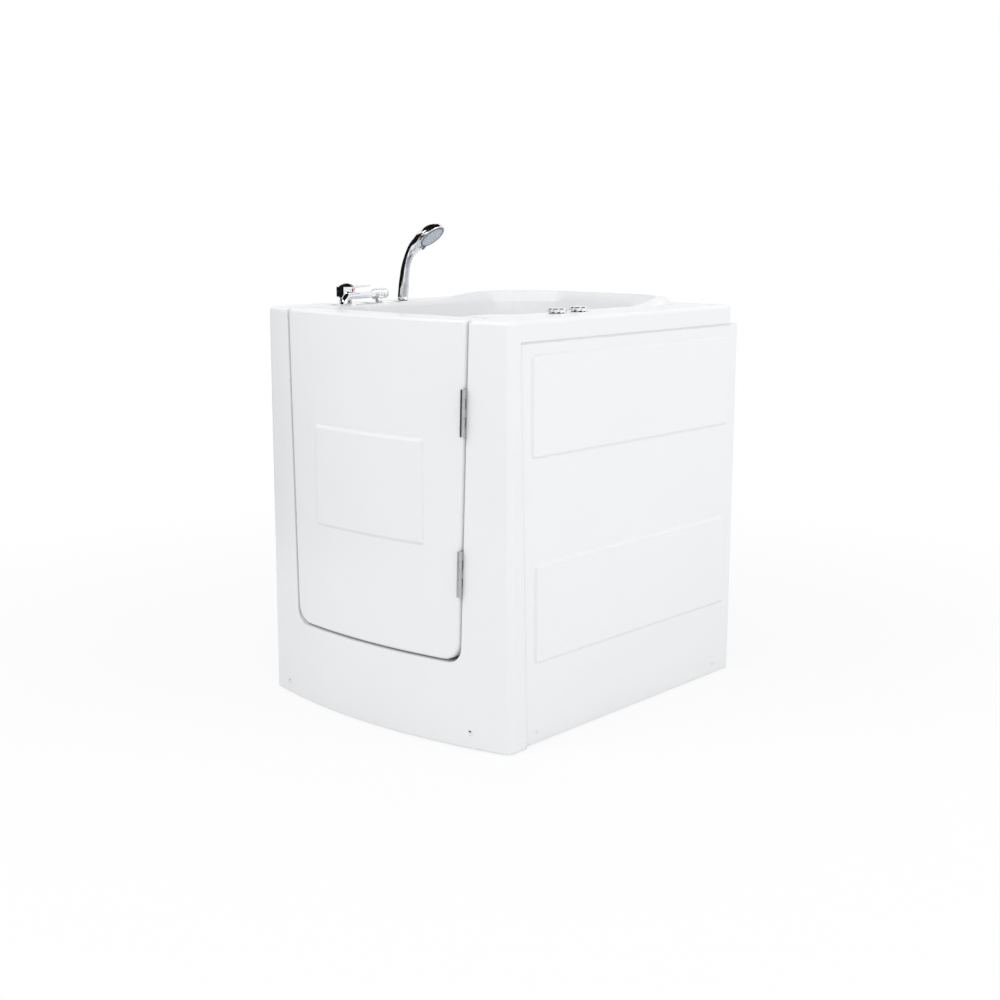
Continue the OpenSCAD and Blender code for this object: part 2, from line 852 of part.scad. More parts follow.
module push_x(points, x0, x1) {
  translate([x0, 0, 0])
    rotate([90, 0, 90])
      linear_extrude(x1 - x0)
        polygon(points);
}

// Raised rectangle with sloping edges, from face x outwards
module raised_box(y, length, z, height, grow) {
  hull() {
    translate([panel_x - panel_t - grow, y + grow, z + grow])
      cube([slice, length - 2 * grow, height - 2 * grow]);
    translate([panel_x - grow, y + grow, z + grow])
      cube([slice, length - 2 * grow, height - 2 * grow]);
    translate([panel_x + raise_h - grow - slice, y + grow + raise_slope, z + grow + raise_slope])
      cube([slice, length - 2 * (grow + raise_slope), height - 2 * (grow + raise_slope)]);
  }
}

module raised_boxes(grow) {
  raised_box(chord_y + raise_top_y, raise_top_len, raise_top_z, raise_top_h, grow);
  raised_box(chord_y + raise_low_y, raise_low_len, raise_low_z, raise_low_h, grow);
}

panel_screw_y = [chord_y + 107, rear_y - 35];
panel_screw_z = 33;
module panel_screw_places() {
  for (y = panel_screw_y)
    translate([panel_x, y, panel_screw_z])
      rotate([0, 90, 0])
        children();
}

module side_panel() {
  color("white")
    difference() {
      union() {
        push_x(panel_face(0), panel_x - panel_return, panel_x);
        raised_boxes(0);
      }
      push_x(panel_face(panel_t), panel_x - panel_return - cut, panel_x - panel_t);
      raised_boxes(panel_t);
      panel_screw_places()
        translate([0, 0, -2 * panel_t])
          cylinder(h = 3 * panel_t, d = screw_d + 1);
    }
}

// Pan-head screw, head outside z = 0
module cover_screw(grip) {
  head_h = 3;
  difference() {
    union() {
      rotate_extrude()
        intersection() {
          translate([0, -screw_head_d])
            circle(r = screw_head_d + head_h, $fn = 96);
          square([screw_head_d / 2, head_h]);
        }
      translate([0, 0, -grip])
        cylinder(h = grip, d = screw_d);
    }
    for (a = [0, 90])
      rotate([0, 0, a])
        translate([-screw_head_d / 4, -0.6, head_h - 1.4])
          cube([screw_head_d / 2, 1.2, 2]);
  }
}

screw_grip = panel_t + 14;
module panel_screws() {
  color("silver")
    panel_screw_places()
      cover_screw(screw_grip);
}

// Z-shaped bracket from the rail's side to the back of the panel
bracket_t = 3;
bracket_w = 40;
module panel_brackets() {
  rail_face = rail_x + tube / 2;
  back = panel_x - panel_t;
  color("gray")
    for (y = panel_screw_y)
      difference() {
        translate([0, y - bracket_w / 2, 0]) {
          translate([rail_face, 0, foot_h])
            cube([bracket_t, bracket_w, tube]);
          translate([rail_face, 0, foot_h])
            cube([back - rail_face, bracket_w, bracket_t]);
          translate([back - bracket_t, 0, panel_screw_z - 14])
            cube([bracket_t, bracket_w, foot_h + bracket_t - panel_screw_z + 14]);
        }
        translate([back - 2 * bracket_t, y, panel_screw_z])
          rotate([0, 90, 0])
            cylinder(h = 3 * bracket_t, d = screw_d + 2 * pin_fit);
      }
}

// The two screws at the foot of the front skirt
skirt_screw_x = [-327, 301];
skirt_screw_z = [31, 41];
module skirt_screw_places() {
  for (i = [0, 1])
    translate([skirt_screw_x[i], bow_y(skirt_screw_x[i]), skirt_screw_z[i]])
      rotate([90, 0, asin(skirt_screw_x[i] / bow_r)])
        children();
}

module skirt_screws() {
  color("silver")
    skirt_screw_places()
      cover_screw(wall + 14);
}

// Angle that joins the front cross rail to the skirt
module skirt_brackets() {
  rail_face = rail_y[0] - tube / 2;
  color("gray")
    difference() {
      intersection() {
        for (x = skirt_screw_x)
          translate([x - bracket_w / 2, chord_y - bow_h, 0])
            difference() {
              translate([0, 0, skirt_screw_z[0] - 14])
                cube([bracket_w, rail_face - chord_y + bow_h, foot_h + tube
                  - skirt_screw_z[0] + 14]);
              translate([-cut, -cut, foot_h + bracket_t])
                cube([bracket_w + 2 * cut, rail_face - chord_y + bow_h + cut - bracket_t,
                  tube]);
              translate([-cut, bow_y(abs(x), wall) - chord_y + bow_h + 2 * bracket_t, 0])
                cube([bracket_w + 2 * cut, tub_d, foot_h]);
            }
        linear_extrude(tub_h)
          polygon(outline(wall + seat_gap));
      }
      skirt_screw_places()
        translate([0, 0, -wall - 40])
          cylinder(h = 40 + wall, d = screw_d + 2 * pin_fit);
    }
}

// --- frame

post_y = [chord_y + post_front, rear_y - post_back];
rail_y = [post_y[0], seat_y + 40, post_y[1]];

// Square tube along X, Y or Z from its low corner
module square_tube(size) {
  bore = [for (s = size) s > tube + cut ? s + 2 * cut : s - 2 * tube_wall];
  difference() {
    cube(size);
    translate([for (i = [0 : 2]) size[i] > tube + cut ? -cut : tube_wall])
      cube(bore);
  }
}

module side_rails() {
  color("slategray")
    difference() {
      for (s = [-1, 1])
        translate([s * rail_x - tube / 2, post_y[0] - tube / 2, foot_h])
          square_tube([tube, post_y[1] - post_y[0] + tube, tube]);
      foot_places()
        cylinder(h = foot_h + tube_wall + cut, d = stem_d + 2 * pin_fit);
    }
}

module cross_rails() {
  inner = 2 * rail_x - tube;
  color("slategray")
    for (y = rail_y)
      translate([-inner / 2, y - tube / 2, foot_h])
        square_tube([inner, tube, tube]);
}

module corner_posts() {
  color("slategray")
    for (s = [-1, 1], y = post_y)
      translate([s * rail_x - tube / 2, y - tube / 2, board_z])
        square_tube([tube, tube, deck_z - board_z]);
}

seat_low = seat_z - wall - tube;
module seat_rails() {
  color("slategray")
    for (s = [-1, 1])
      translate([s * rail_x - tube / 2, post_y[0] + tube / 2, seat_low])
        square_tube([tube, post_y[1] - post_y[0] - tube, tube]);
}

bearer_y = [seat_y + bearer_front, basin_y1 - recline - bearer_back];
module seat_bearers() {
  inner = 2 * rail_x - tube;
  color("slategray")
    for (y = bearer_y)
      translate([-inner / 2, y - tube / 2, seat_low])
        square_tube([inner, tube, tube]);
}

// Levelling feet screw into the side rails
foot_y = [post_y[0] + 45, post_y[1] - 45];
module foot_places() {
  for (s = [-1, 1], y = foot_y)
    translate([s * rail_x, y, 0])
      children();
}

stem_up = 18;
module levelling_foot(s, y) {
  color("dimgray")
    translate([s * rail_x, y, 0]) {
      rotate_extrude()
        polygon([[0, 0], [pad_d / 2, 0], [pad_d / 2, 6], [pad_d / 3, 12], [stem_d / 2, 14], [0, 14]]);
      cylinder(h = foot_h + stem_up, d = stem_d);
      translate([0, 0, 16])
        cylinder(h = 8, d = stem_d * 1.9, $fn = 6);
    }
}

module foot_front_left() { levelling_foot(-1, foot_y[0]); }
module foot_front_right() { levelling_foot(1, foot_y[0]); }
module foot_rear_left() { levelling_foot(-1, foot_y[1]); }
module foot_rear_right() { levelling_foot(1, foot_y[1]); }

// Board with the drain's holes and a notch below the supplies
inlet_d = 12;
inlet_pitch = 26;
supply_notch = 64;
module base_board() {
  hw = rail_x - tube / 2 - 3;
  color("burlywood")
    difference() {
      translate([-hw, post_y[0] + tube, board_z])
        cube([2 * hw, post_y[1] - post_y[0] - 2 * tube, board_t]);
      translate([0, chord_y + drain_y, board_z - cut])
        cylinder(h = board_t + 2 * cut, d = drain_body_d + 4);
      translate([-waste_x, chord_y + drain_y, board_z - cut])
        cylinder(h = board_t + 2 * cut, d = overflow_pipe_d + 4);
      translate([-half_w, chord_y + mixer_y - supply_notch / 2, board_z - cut])
        cube([half_w - tap_x + supply_notch / 4, supply_notch, board_t + 2 * cut]);
    }
}

// --- drain and overflow

drain_body_d = drain_bore + 8;
flange_t = 3;
shoe_d = drain_body_d + 14;
outlet_z = floor_gap + 2;
outlet_len = 38;
shoe_z = outlet_z + outlet_len;
overflow_body_d = 44;
overflow_pipe_d = 30;
waste_x = basin_hw + wall + 30;

module drain_flange() {
  color("silver")
    translate([0, chord_y + drain_y, 0])
      difference() {
        union() {
          translate([0, 0, floor_z])
            cylinder(h = flange_t, d1 = flange_d, d2 = flange_d - 2 * flange_t);
          translate([0, 0, board_z - 6])
            cylinder(h = floor_z - board_z + 6, d = drain_body_d);
        }
        translate([0, 0, board_z - 7])
          cylinder(h = floor_z, d = drain_bore);
      }
}

// Plug on its stem, which slides in the guide of the shoe
plug_stem_d = 8;
guide_t = 5;
module drain_plug() {
  stem_z = shoe_z - plug_lift - 2;
  color("silver")
    translate([0, chord_y + drain_y, 0]) {
      translate([0, 0, floor_z + flange_t + seat_gap])
        rotate_extrude()
          intersection() {
            translate([0, -3 * drain_bore])
              circle(r = 3 * drain_bore + 6, $fn = 128);
            square([drain_bore / 2 + 5, 6]);
          }
      translate([0, 0, stem_z])
        cylinder(h = floor_z + flange_t + 1 - stem_z, d = plug_stem_d);
    }
}

// Shoe under the board, its spigot down to the waste and its branch to the overflow
module drain_shoe() {
  z_mid = shoe_z + overflow_pipe_d / 2 + 0.5;
  bore = outlet_d - 6;
  color("gray")
    translate([0, chord_y + drain_y, 0])
      difference() {
        union() {
          translate([0, 0, shoe_z])
            cylinder(h = board_z - shoe_z - seat_gap, d = shoe_d);
          translate([0, 0, outlet_z])
            cylinder(h = outlet_len + cut, d = outlet_d);
          translate([0, 0, z_mid])
            rotate([0, -90, 0])
              cylinder(h = waste_x, d = overflow_pipe_d);
          translate([-waste_x, 0, z_mid])
            sphere(d = overflow_pipe_d + 4);
          translate([-waste_x, 0, z_mid])
            cylinder(h = board_z + board_t - z_mid, d = overflow_pipe_d);
        }
        translate([0, 0, shoe_z + guide_t])
          cylinder(h = board_z, d = drain_body_d + 2 * pin_fit);
        translate([0, 0, outlet_z - cut])
          cylinder(h = outlet_len + cut, d = bore);
        translate([0, 0, shoe_z - cut])
          cylinder(h = board_z, d = plug_stem_d + 4 * pin_fit);
        for (i = [0 : 5])
          rotate([0, 0, 60 * i])
            translate([bore / 3, 0, shoe_z - cut])
              cylinder(h = board_z, d = plug_stem_d - 1);
        translate([-waste_x, 0, z_mid])
          cylinder(h = board_z, d = overflow_pipe_d - 5);
      }
}

// Frame of a fitting on the drafted left wall: +Z points into the basin
module on_side_wall() {
  translate([draft(overflow_z) - basin_hw, chord_y + overflow_y, overflow_z])
    rotate([0, 90 - draft_deg, 0])
      children();
}

module overflow_plate() {
  color("silver")
    on_side_wall()
      difference() {
        union() {
          translate([0, 0, seat_gap])
            cylinder(h = 7, d1 = overflow_d, d2 = overflow_d - 8);
          translate([0, 0, -wall - 14])
            cylinder(h = wall + 16, d = overflow_body_d);
        }
        cylinder(h = 3 * wall, d = plug_stem_d + 4 * pin_fit, center = true);
        translate([0, 0, -wall - 15])
          cylinder(h = 14, d = overflow_body_d - 6);
      }
}

overflow_knob_d = 42;
module overflow_knob() {
  lobes = 5;
  color("silver")
    on_side_wall()
      difference() {
        union() {
          translate([0, 0, 7 + 2 * seat_gap])
            cylinder(h = 15, d1 = overflow_knob_d, d2 = overflow_knob_d - 4);
          translate([0, 0, -wall - 2])
            cylinder(h = wall + 10, d = plug_stem_d);
        }
        for (i = [0 : lobes - 1])
          rotate([0, 0, 360 * i / lobes])
            translate([overflow_knob_d / 2 + 4, 0, 7])
              cylinder(h = 20, d = 16);
      }
}

// Overflow head behind the wall and its pipe down to the shoe
module overflow_pipe() {
  y = chord_y + overflow_y;
  y_low = chord_y + drain_y;
  low = board_z + board_t + seat_gap;
  bend_z = overflow_z - 60;
  turn_z = low + 60;
  color("gray")
    difference() {
      union() {
        translate([-waste_x, y, overflow_z])
          sphere(d = overflow_body_d);
        on_side_wall()
          translate([0, 0, -wall - 14 - 22])
            cylinder(h = 22 - seat_gap, d = overflow_body_d);
        translate([-waste_x, y, turn_z])
          cylinder(h = overflow_z - turn_z, d = overflow_pipe_d);
        translate([-waste_x, y, turn_z])
          sphere(d = overflow_pipe_d);
        translate([-waste_x, y_low, turn_z])
          sphere(d = overflow_pipe_d);
        translate([-waste_x, y_low, turn_z])
          rotate([-90, 0, 0])
            cylinder(h = y - y_low, d = overflow_pipe_d);
        translate([-waste_x, y_low, low])
          cylinder(h = turn_z - low, d = overflow_pipe_d);
      }
      translate([-waste_x, y_low, low - cut])
        cylinder(h = 40, d = overflow_pipe_d - 5);
    }
}

// --- water jets

jet_body_d = 40;
jet_body_len = 26;
// Frames of the fittings: +Z points into the basin
module on_riser(x, z) {
  translate([x, riser_y(z), z])
    rotate([90 - riser_deg, 0, 0])
      children();
}

module on_backrest(x, z) {
  translate([x, basin_y1 - draft(z) - lean_in(z), z])
    rotate([90 - recline_deg, 0, 0])
      children();
}

module jet_places() {
  for (s = [-1, 1]) {
    on_backrest(s * jet_x, back_jet_z)
      children();
    on_riser(s * jet_x, foot_jet_z)
      children();
  }
}

module jets() {
  color("silver")
    jet_places()
      difference() {
        union() {
          translate([0, 0, seat_gap])
            cylinder(h = 5, d1 = jet_d, d2 = jet_d - 6);
          translate([0, 0, -wall - jet_body_len])
            cylinder(h = wall + jet_body_len + 1, d = jet_body_d);
        }
        translate([0, 0, 2])
          cylinder(h = 8, d = jet_d / 2);
        translate([0, 0, -wall])
          cylinder(h = wall + 4, d = 14);
      }
}

// Ball at each point and a rod between neighbours
module pipe_run(points, d) {
  for (p = points)
    translate(p)
      sphere(d = d);
  for (i = [0 : len(points) - 2])
    rod(points[i], points[i + 1], d);
}

module rod(a, b, d) {
  v = b - a;
  translate(a)
    rotate([0, acos(v[2] / norm(v)), atan2(v[1], v[0])])
      cylinder(h = norm(v), d = d);
}

// Centres of the water pipes behind the jets, in Y and Z
jet_reach = wall + jet_body_len + seat_gap + pipe_d / 2;
back_pipe = [basin_y1 - draft(back_jet_z) - lean_in(back_jet_z) + jet_reach * cos(recline_deg),
  back_jet_z - jet_reach * sin(recline_deg)];
foot_pipe = [riser_y(foot_jet_z) + jet_reach * cos(riser_deg), foot_jet_z - jet_reach * sin(riser_deg)];
pump_x = -pump_off;
pump_y = seat_y + pump_back;
pump_z = board_z + board_t + pump_d / 2 + pump_foot;
pump_r = pump_d / 2;
pump_w = 56;

module jet_pipes() {
  manifold_z = foot_jet_z + manifold_rise;
  foot_y = foot_pipe[0];
  foot_z = foot_pipe[1];
  back_y = back_pipe[0];
  back_z = back_pipe[1];
  color("whitesmoke") {
    pipe_run([[-jet_x, foot_y, foot_z], [jet_x, foot_y, foot_z]], pipe_d);
    pipe_run([[-jet_x, back_y, back_z], [jet_x, back_y, back_z]], pipe_d);
    pipe_run([[pump_x, foot_y, foot_z], [pump_x, foot_y, manifold_z],
      [pump_x, back_y, manifold_z], [pump_x, back_y, back_z]], pipe_d);
    rod([pump_x, pump_y, pump_z + pump_r + seat_gap], [pump_x, pump_y, manifold_z], pipe_d);
  }
}

module pump() {
  color("dimgray")
    difference() {
      union() {
        translate([pump_x, pump_y, pump_z])
          rotate([0, 90, 0])
            cylinder(h = pump_w, r = pump_r, center = true);
        translate([pump_x, pump_y - pump_r - 22, pump_z])
          rotate([-90, 0, 0])
            cylinder(h = 40, d = pipe_d + 12);
        translate([pump_x - 24, pump_y - 50, board_z + board_t])
          cube([48, 100, pump_z - board_z - board_t - 20]);
      }
      translate([pump_x, pump_y - pump_r - 23, pump_z])
        rotate([-90, 0, 0])
          cylinder(h = 34, d = pipe_d + 2 * pin_fit);
    }
}

// Motor with cooling ribs and its cradle
module pump_motor() {
  ribs = 18;
  motor_r = pump_r - 4;
  length = motor_len;
  x0 = pump_x + pump_w / 2;
  color("black")
    difference() {
      union() {
        translate([x0, pump_y, pump_z])
          rotate([0, 90, 0])
            cylinder(h = length, r = motor_r);
        translate([x0 + 30, pump_y - 48, board_z + board_t])
          cube([length - 60, 96, pump_z - board_z - board_t - 20]);
      }
      for (i = [0 : ribs - 1])
        translate([x0 + 20, pump_y, pump_z])
          rotate([360 * i / ribs, 0, 0])
            translate([0, -1.5, motor_r - 4])
              cube([length - 45, 3, 6]);
    }
}

module suction_cover() {
  slots = 12;
  color("whitesmoke")
    on_riser(0, suction_z)
      difference() {
        union() {
          translate([0, 0, seat_gap])
            cylinder(h = 12, d1 = suction_d, d2 = suction_d - 22);
          translate([0, 0, -wall - 16])
            cylinder(h = wall + 18, d = pipe_d);
        }
        translate([0, 0, -wall - 17])
          cylinder(h = wall + 24, d = pipe_d - 6);
        for (i = [0 : slots - 1])
          rotate([0, 0, 360 * i / slots])
            translate([suction_d / 2 - 26, -2, 4])
              cube([suction_d / 2, 4, 5]);
      }
}

module suction_pipe() {
  start = [0, riser_y(suction_z) + wall + 16 + pipe_d / 2, suction_z];
  color("whitesmoke")
    difference() {
      union() {
        pipe_run([start, [pump_x, start[1], suction_z], [pump_x, start[1], pump_z]], pipe_d + 8);
        rod([pump_x, start[1], pump_z], [pump_x, pump_y - pump_r + 8, pump_z], pipe_d);
      }
      on_riser(0, suction_z)
        translate([0, 0, -wall - 16 - seat_gap])
          cylinder(h = 60, d = pipe_d + 2 * seat_gap);
    }
}

// Scalloped knob of an air control, on the stem of its valve
valve_d = 30;
air_stem_d = 10;
module air_knob(i) {
  scallop = 9;
  color("silver")
    translate([knob_x, chord_y + knob_y + i * knob_pitch, tub_h])
      difference() {
        union() {
          translate([0, 0, 3 + seat_gap])
            cylinder(h = knob_h - 5, d = knob_d);
          translate([0, 0, knob_h - 2 + seat_gap])
            cylinder(h = 2, d1 = knob_d, d2 = knob_d - 6);
          translate([0, 0, -wall - 4])
            cylinder(h = wall + 9, d = air_stem_d);
        }
        for (k = [0 : knob_lobes - 1])
          rotate([0, 0, 360 * k / knob_lobes])
            translate([knob_d / 2 + scallop / 4, 0, 0])
              cylinder(h = 2 * knob_h, d = scallop);
      }
}

module air_knob_front() { air_knob(0); }
module air_knob_rear() { air_knob(1); }

valve_len = 60;
module air_valves() {
  color("whitesmoke")
    for (i = [0, 1])
      translate([knob_x, chord_y + knob_y + i * knob_pitch, 0])
        difference() {
          union() {
            translate([0, 0, tub_h])
              cylinder(h = 3, d1 = knob_d + 2, d2 = knob_d - 4);
            translate([0, 0, deck_z - valve_len])
              cylinder(h = valve_len + wall + 1, d = valve_d);
            translate([0, 0, deck_z - 9])
              cylinder(h = 9, d = valve_d + 14, $fn = 6);
          }
          translate([0, 0, tub_h - wall - 6])
            cylinder(h = 30, d = air_stem_d + 2 * pin_fit);
        }
}

// Air pipes run back beside the basin, then down to the foot jets' manifold
module air_pipes() {
  y0 = chord_y + knob_y;
  top = deck_z - valve_len;
  run_z = top - 40;
  low_z = foot_pipe[1] + 4;
  end_y = foot_pipe[0];
  color("white")
    difference() {
      union() {
        pipe_run([[knob_x, y0, top - 1], [knob_x, y0, run_z], [knob_x, y0 + knob_pitch, run_z],
          [knob_x, end_y, run_z], [knob_x, end_y, low_z], [jet_x + pipe_d / 2 - 2, end_y, low_z]],
          air_d);
        pipe_run([[knob_x, y0 + knob_pitch, top - 1], [knob_x, y0 + knob_pitch, run_z]], air_d);
      }
      translate([jet_x, end_y, foot_pipe[1]])
        sphere(d = pipe_d + 2 * seat_gap);
      translate([knob_x - valve_d, y0 - valve_d, top])
        cube([2 * valve_d, knob_pitch + 2 * valve_d, valve_len]);
    }
}

// --- taps

// Flared foot that sweeps up into a neck: a quarter ring cut out of a cylinder
module flared_foot(d, neck, height) {
  sweep = height - 2;
  rotate_extrude()
    difference() {
      square([d / 2, height]);
      translate([neck / 2 + sweep, height])
        circle(r = sweep);
      translate([neck / 2 + sweep, 2])
        square([d, height]);
    }
}

module deck_at(y) {
  translate([-tap_x, chord_y + y, tub_h])
    children();
}

mixer_neck = 30;
mixer_low = 14;
mixer_split = 33;
cap_h = 20;
module mixer_body() {
  color("silver")
    deck_at(mixer_y) {
      flared_foot(flare_d, mixer_neck, mixer_low);
      cylinder(h = mixer_low + 4, d = mixer_neck);
      translate([0, 0, mixer_low])
        cylinder(h = 6, d1 = mixer_neck, d2 = mixer_d);
      translate([0, 0, mixer_low + 6])
        cylinder(h = mixer_split - mixer_low - 6, d = mixer_d);
      translate([0, 0, mixer_split])
        cylinder(h = lever_pivot[2] - mixer_split - lever_t / 2 - 1, d = mixer_d / 2);
      translate([0, 0, -wall - 50])
        cylinder(h = wall + 52, d = shank_d);
    }
}

// Domed cap that turns with the lever; the lever sits in its slot
lever_t = 7;
lever_w = 17;
lever_pivot = [6, 0, mixer_split + 10];
module mixer_cap() {
  color("silver")
    deck_at(mixer_y)
      difference() {
        translate([0, 0, mixer_split + seat_gap])
          rotate_extrude($fn = 96)
            intersection() {
              translate([0, -cap_h * 0.85])
                circle(r = cap_h * 1.85, $fn = 128);
              square([mixer_d / 2, cap_h]);
            }
        translate([0, 0, mixer_split - cut])
          cylinder(h = 8, d = mixer_d / 2 + 2 * seat_gap);
        rotate([0, 0, lever_turn]) {
          translate([-4, -lever_w / 2 - seat_gap, lever_pivot[2] - lever_t / 2 - 1])
            cube([mixer_d, lever_w + 2 * seat_gap, cap_h]);
        }
      }
}

// Flat lever that thins towards its end
module mixer_lever() {
  rise = 5;
  color("silver")
    deck_at(mixer_y)
      rotate([0, 0, lever_turn]) {
        translate(lever_pivot)
          rotate([90, 0, 0])
            cylinder(h = lever_w, d = lever_t + 0.8, center = true);
        hull() {
          translate(lever_pivot)
            rotate([90, 0, 0])
              cylinder(h = lever_w - 1, d = lever_t, center = true, $fn = smooth);
          translate([mixer_d / 2, 0, lever_pivot[2] + rise * 0.3])
            rotate([90, 0, 0])
              cylinder(h = lever_w, d = lever_t * 0.8, center = true, $fn = smooth);
          translate([lever_len, 0, lever_pivot[2] + rise])
            rotate([90, 0, 0])
              cylinder(h = lever_w * 0.55, d = lever_t * 0.45, center = true, $fn = smooth);
        }
      }
}

module spout_base() {
  color("silver")
    deck_at(spout_y) {
      difference() {
        union() {
          flared_foot(flare_d, 16, 8);
          translate([0, 0, -wall - 50])
            cylinder(h = wall + 52, d = shank_d);
        }
        translate([0, 0, -wall - 30])
          cylinder(h = 60, d = spout_pivot_d + 2 * pin_fit);
      }
    }
}

// Spout body with grooves, tube and turned-down outlet
spout_pivot_d = 12;
spout_body_d = 28;
spout_body_len = 42;
bend_r = 17;
module spout() {
  down = spout_z - 4 - bend_r;
  color("silver")
    deck_at(spout_y)
      rotate([0, 0, spout_turn - 90]) {
        translate([0, 0, -wall - 28])
          cylinder(h = wall + 28 + spout_z, d = spout_pivot_d);
        translate([-spout_body_len / 2, 0, spout_z])
          difference() {
            rotate([0, 90, 0])
              cylinder(h = spout_body_len, d = spout_body_d);
            for (x = [0.32, 0.68])
              translate([spout_body_len * x, 0, 0])
                rotate([0, 90, 0])
                  difference() {
                    cylinder(h = 2, d = spout_body_d + 4);
                    translate([0, 0, -cut])
                      cylinder(h = 4, d = spout_body_d - 3);
                  }
            translate([-cut, 0, 0])
              rotate([0, 90, 0])
                cylinder(h = 14, d = 8 + 2 * pin_fit);
          }
        translate([spout_body_len / 2 - 2, 0, spout_z])
          rotate([0, 90, 0])
            cylinder(h = spout_reach - bend_r - spout_body_len / 2 + 2, d = spout_d);
        translate([spout_reach - bend_r, 0, spout_z - bend_r])
          rotate([90, 0, 0])
            rotate_extrude(angle = 90)
              translate([bend_r, 0])
                circle(d = spout_d);
        translate([spout_reach, 0, spout_z - bend_r - down])
          difference() {
            cylinder(h = down, d = spout_d);
            translate([0, 0, -cut])
              cylinder(h = down, d = spout_d - 4);
          }
      }
}

module diverter_knob() {
  grips = 12;
  length = 13;
  color("silver")
    deck_at(spout_y)
      rotate([0, 0, spout_turn - 90])
        translate([-spout_body_len / 2 - seat_gap, 0, spout_z])
          rotate([0, -90, 0])
            difference() {
              union() {
                cylinder(h = length - 3, d = spout_body_d);
                translate([0, 0, length - 3])
                  cylinder(h = 3, d1 = spout_body_d, d2 = spout_body_d - 8);
                translate([0, 0, -10])
                  cylinder(h = 12, d = 8);
              }
              for (i = [0 : grips - 1])
                rotate([0, 0, 360 * i / grips])
                  translate([spout_body_d / 2 + 0.6, 0, 2])
                    cylinder(h = length, d = 3.2, $fn = 16);
            }
}

// Deck holder of the hand shower, and the shower standing in it
holder_h = 8;
socket_deep = 30;
module shower_holder() {
  color("silver")
    deck_at(shower_y)
      difference() {
        union() {
          flared_foot(holder_d + 6, holder_d - 8, holder_h - 1);
          cylinder(h = holder_h, d = holder_d - 8);
          translate([0, 0, -wall - 50])
            cylinder(h = wall + 52, d = shank_d);
        }
        translate([0, 0, holder_h - socket_deep])
          cylinder(h = 2 * socket_deep, d = tail_d + 4 * pin_fit);
      }
}

// Centre line of the shower's handle, from the holder up to the head
tail_d = 14;
shower_tilt = 42;
handle_foot = holder_h + handle_d * 0.475 + seat_gap;
handle_line = [[0, 0, handle_foot], [4, 0, 42], [11, 0, 72], [24, 0, 108], [42, 0, 142], [61, 0, 168]];
handle_girth = [0.95, 0.98, 0.96, 0.95, 1.05, 1.4];
head_centre = [93, 0, 167];
head_rim = 7;
dome_h = head_d * 0.34;
ring_d = head_d - 9;
face_d = ring_d - 8;

// Frame of the standing shower, and of its face with +Z along the spray
module shower_frame() {
  deck_at(shower_y)
    rotate([0, 0, shower_turn])
      children();
}

module head_frame() {
  shower_frame()
    translate(head_centre)
      rotate([0, 180 - shower_tilt, 0])
        children();
}

module hand_shower() {
  last = len(handle_line) - 1;
  dome_r = (pow(head_d / 2, 2) + pow(dome_h, 2)) / (2 * dome_h);
  color("silver")
    difference() {
      union() {
        shower_frame() {
          for (i = [0 : last - 1])
            hull()
              for (j = [i, i + 1])
                translate(handle_line[j])
                  sphere(d = handle_d * handle_girth[j], $fn = ball);
          translate([0, 0, holder_h - socket_deep + 2])
            cylinder(h = socket_deep + 4, d = tail_d);
        }
        head_frame() {
          translate([0, 0, -head_rim])
            cylinder(h = head_rim, d = head_d);
          intersection() {
            translate([0, 0, dome_r - dome_h - head_rim])
              sphere(r = dome_r);
            translate([0, 0, -dome_h - head_rim])
              cylinder(h = dome_h + 1, d = head_d);
          }
        }
      }
      head_frame()
        translate([0, 0, -5])
          cylinder(h = head_d / 2, d = ring_d);
    }
}

module shower_face() {
  nozzle_ring = [[6, 0.3], [12, 0.55], [18, 0.8]];
  color("lightsteelblue")
    head_frame()
      difference() {
        translate([0, 0, -5])
          cylinder(h = 6, d = face_d);
        for (ring = nozzle_ring, i = [0 : ring[0] - 1])
          rotate([0, 0, 360 * i / ring[0]])
            translate([ring[1] * face_d / 2, 0, 0])
              cylinder(h = 3, d = 1.6, $fn = 16);
      }
}

// Ring with a tab that turns round the face to choose the spray
module spray_selector() {
  color("slategray")
    head_frame() {
      difference() {
        translate([0, 0, -4.5])
          cylinder(h = 6, d = ring_d - 2 * seat_gap);
        translate([0, 0, -6])
          cylinder(h = 10, d = face_d + 2 * seat_gap);
      }
      translate([face_d / 2 + 1, -2.5, seat_gap])
        cube([12, 5, 4.5]);
    }
}

// Locknuts that clamp the three taps under the deck
module tap_nuts() {
  color("gold")
    for (y = [mixer_y, spout_y, shower_y])
      translate([-tap_x, chord_y + y, deck_z - 10])
        difference() {
          cylinder(h = 10, d = shank_d * 1.75, $fn = 6);
          translate([0, 0, -cut])
            cylinder(h = 12, d = shank_d + 2 * pin_fit);
        }
}

// Inlet tails below the mixer and the link pipes between the taps
inlet_drop = 110;
module tap_tails() {
  z0 = tub_h - wall - 50 - seat_gap;
  link_z = z0 - 14;
  color("gold") {
    for (s = [-1, 1])
      deck_at(mixer_y)
        translate([0, s * inlet_pitch / 2, z0 - tub_h - inlet_drop])
          cylinder(h = inlet_drop - 8, d = inlet_d);
    deck_at(mixer_y)
      translate([0, 0, z0 - tub_h - 22])
        cylinder(h = 22, d = 40);
    pipe_run([[-tap_x, chord_y + mixer_y, link_z], [-tap_x, chord_y + shower_y, link_z]], inlet_d);
    for (y = [spout_y, shower_y])
      deck_at(y)
        translate([0, 0, z0 - tub_h - 20])
          cylinder(h = 20, d = shank_d + 3);
  }
}

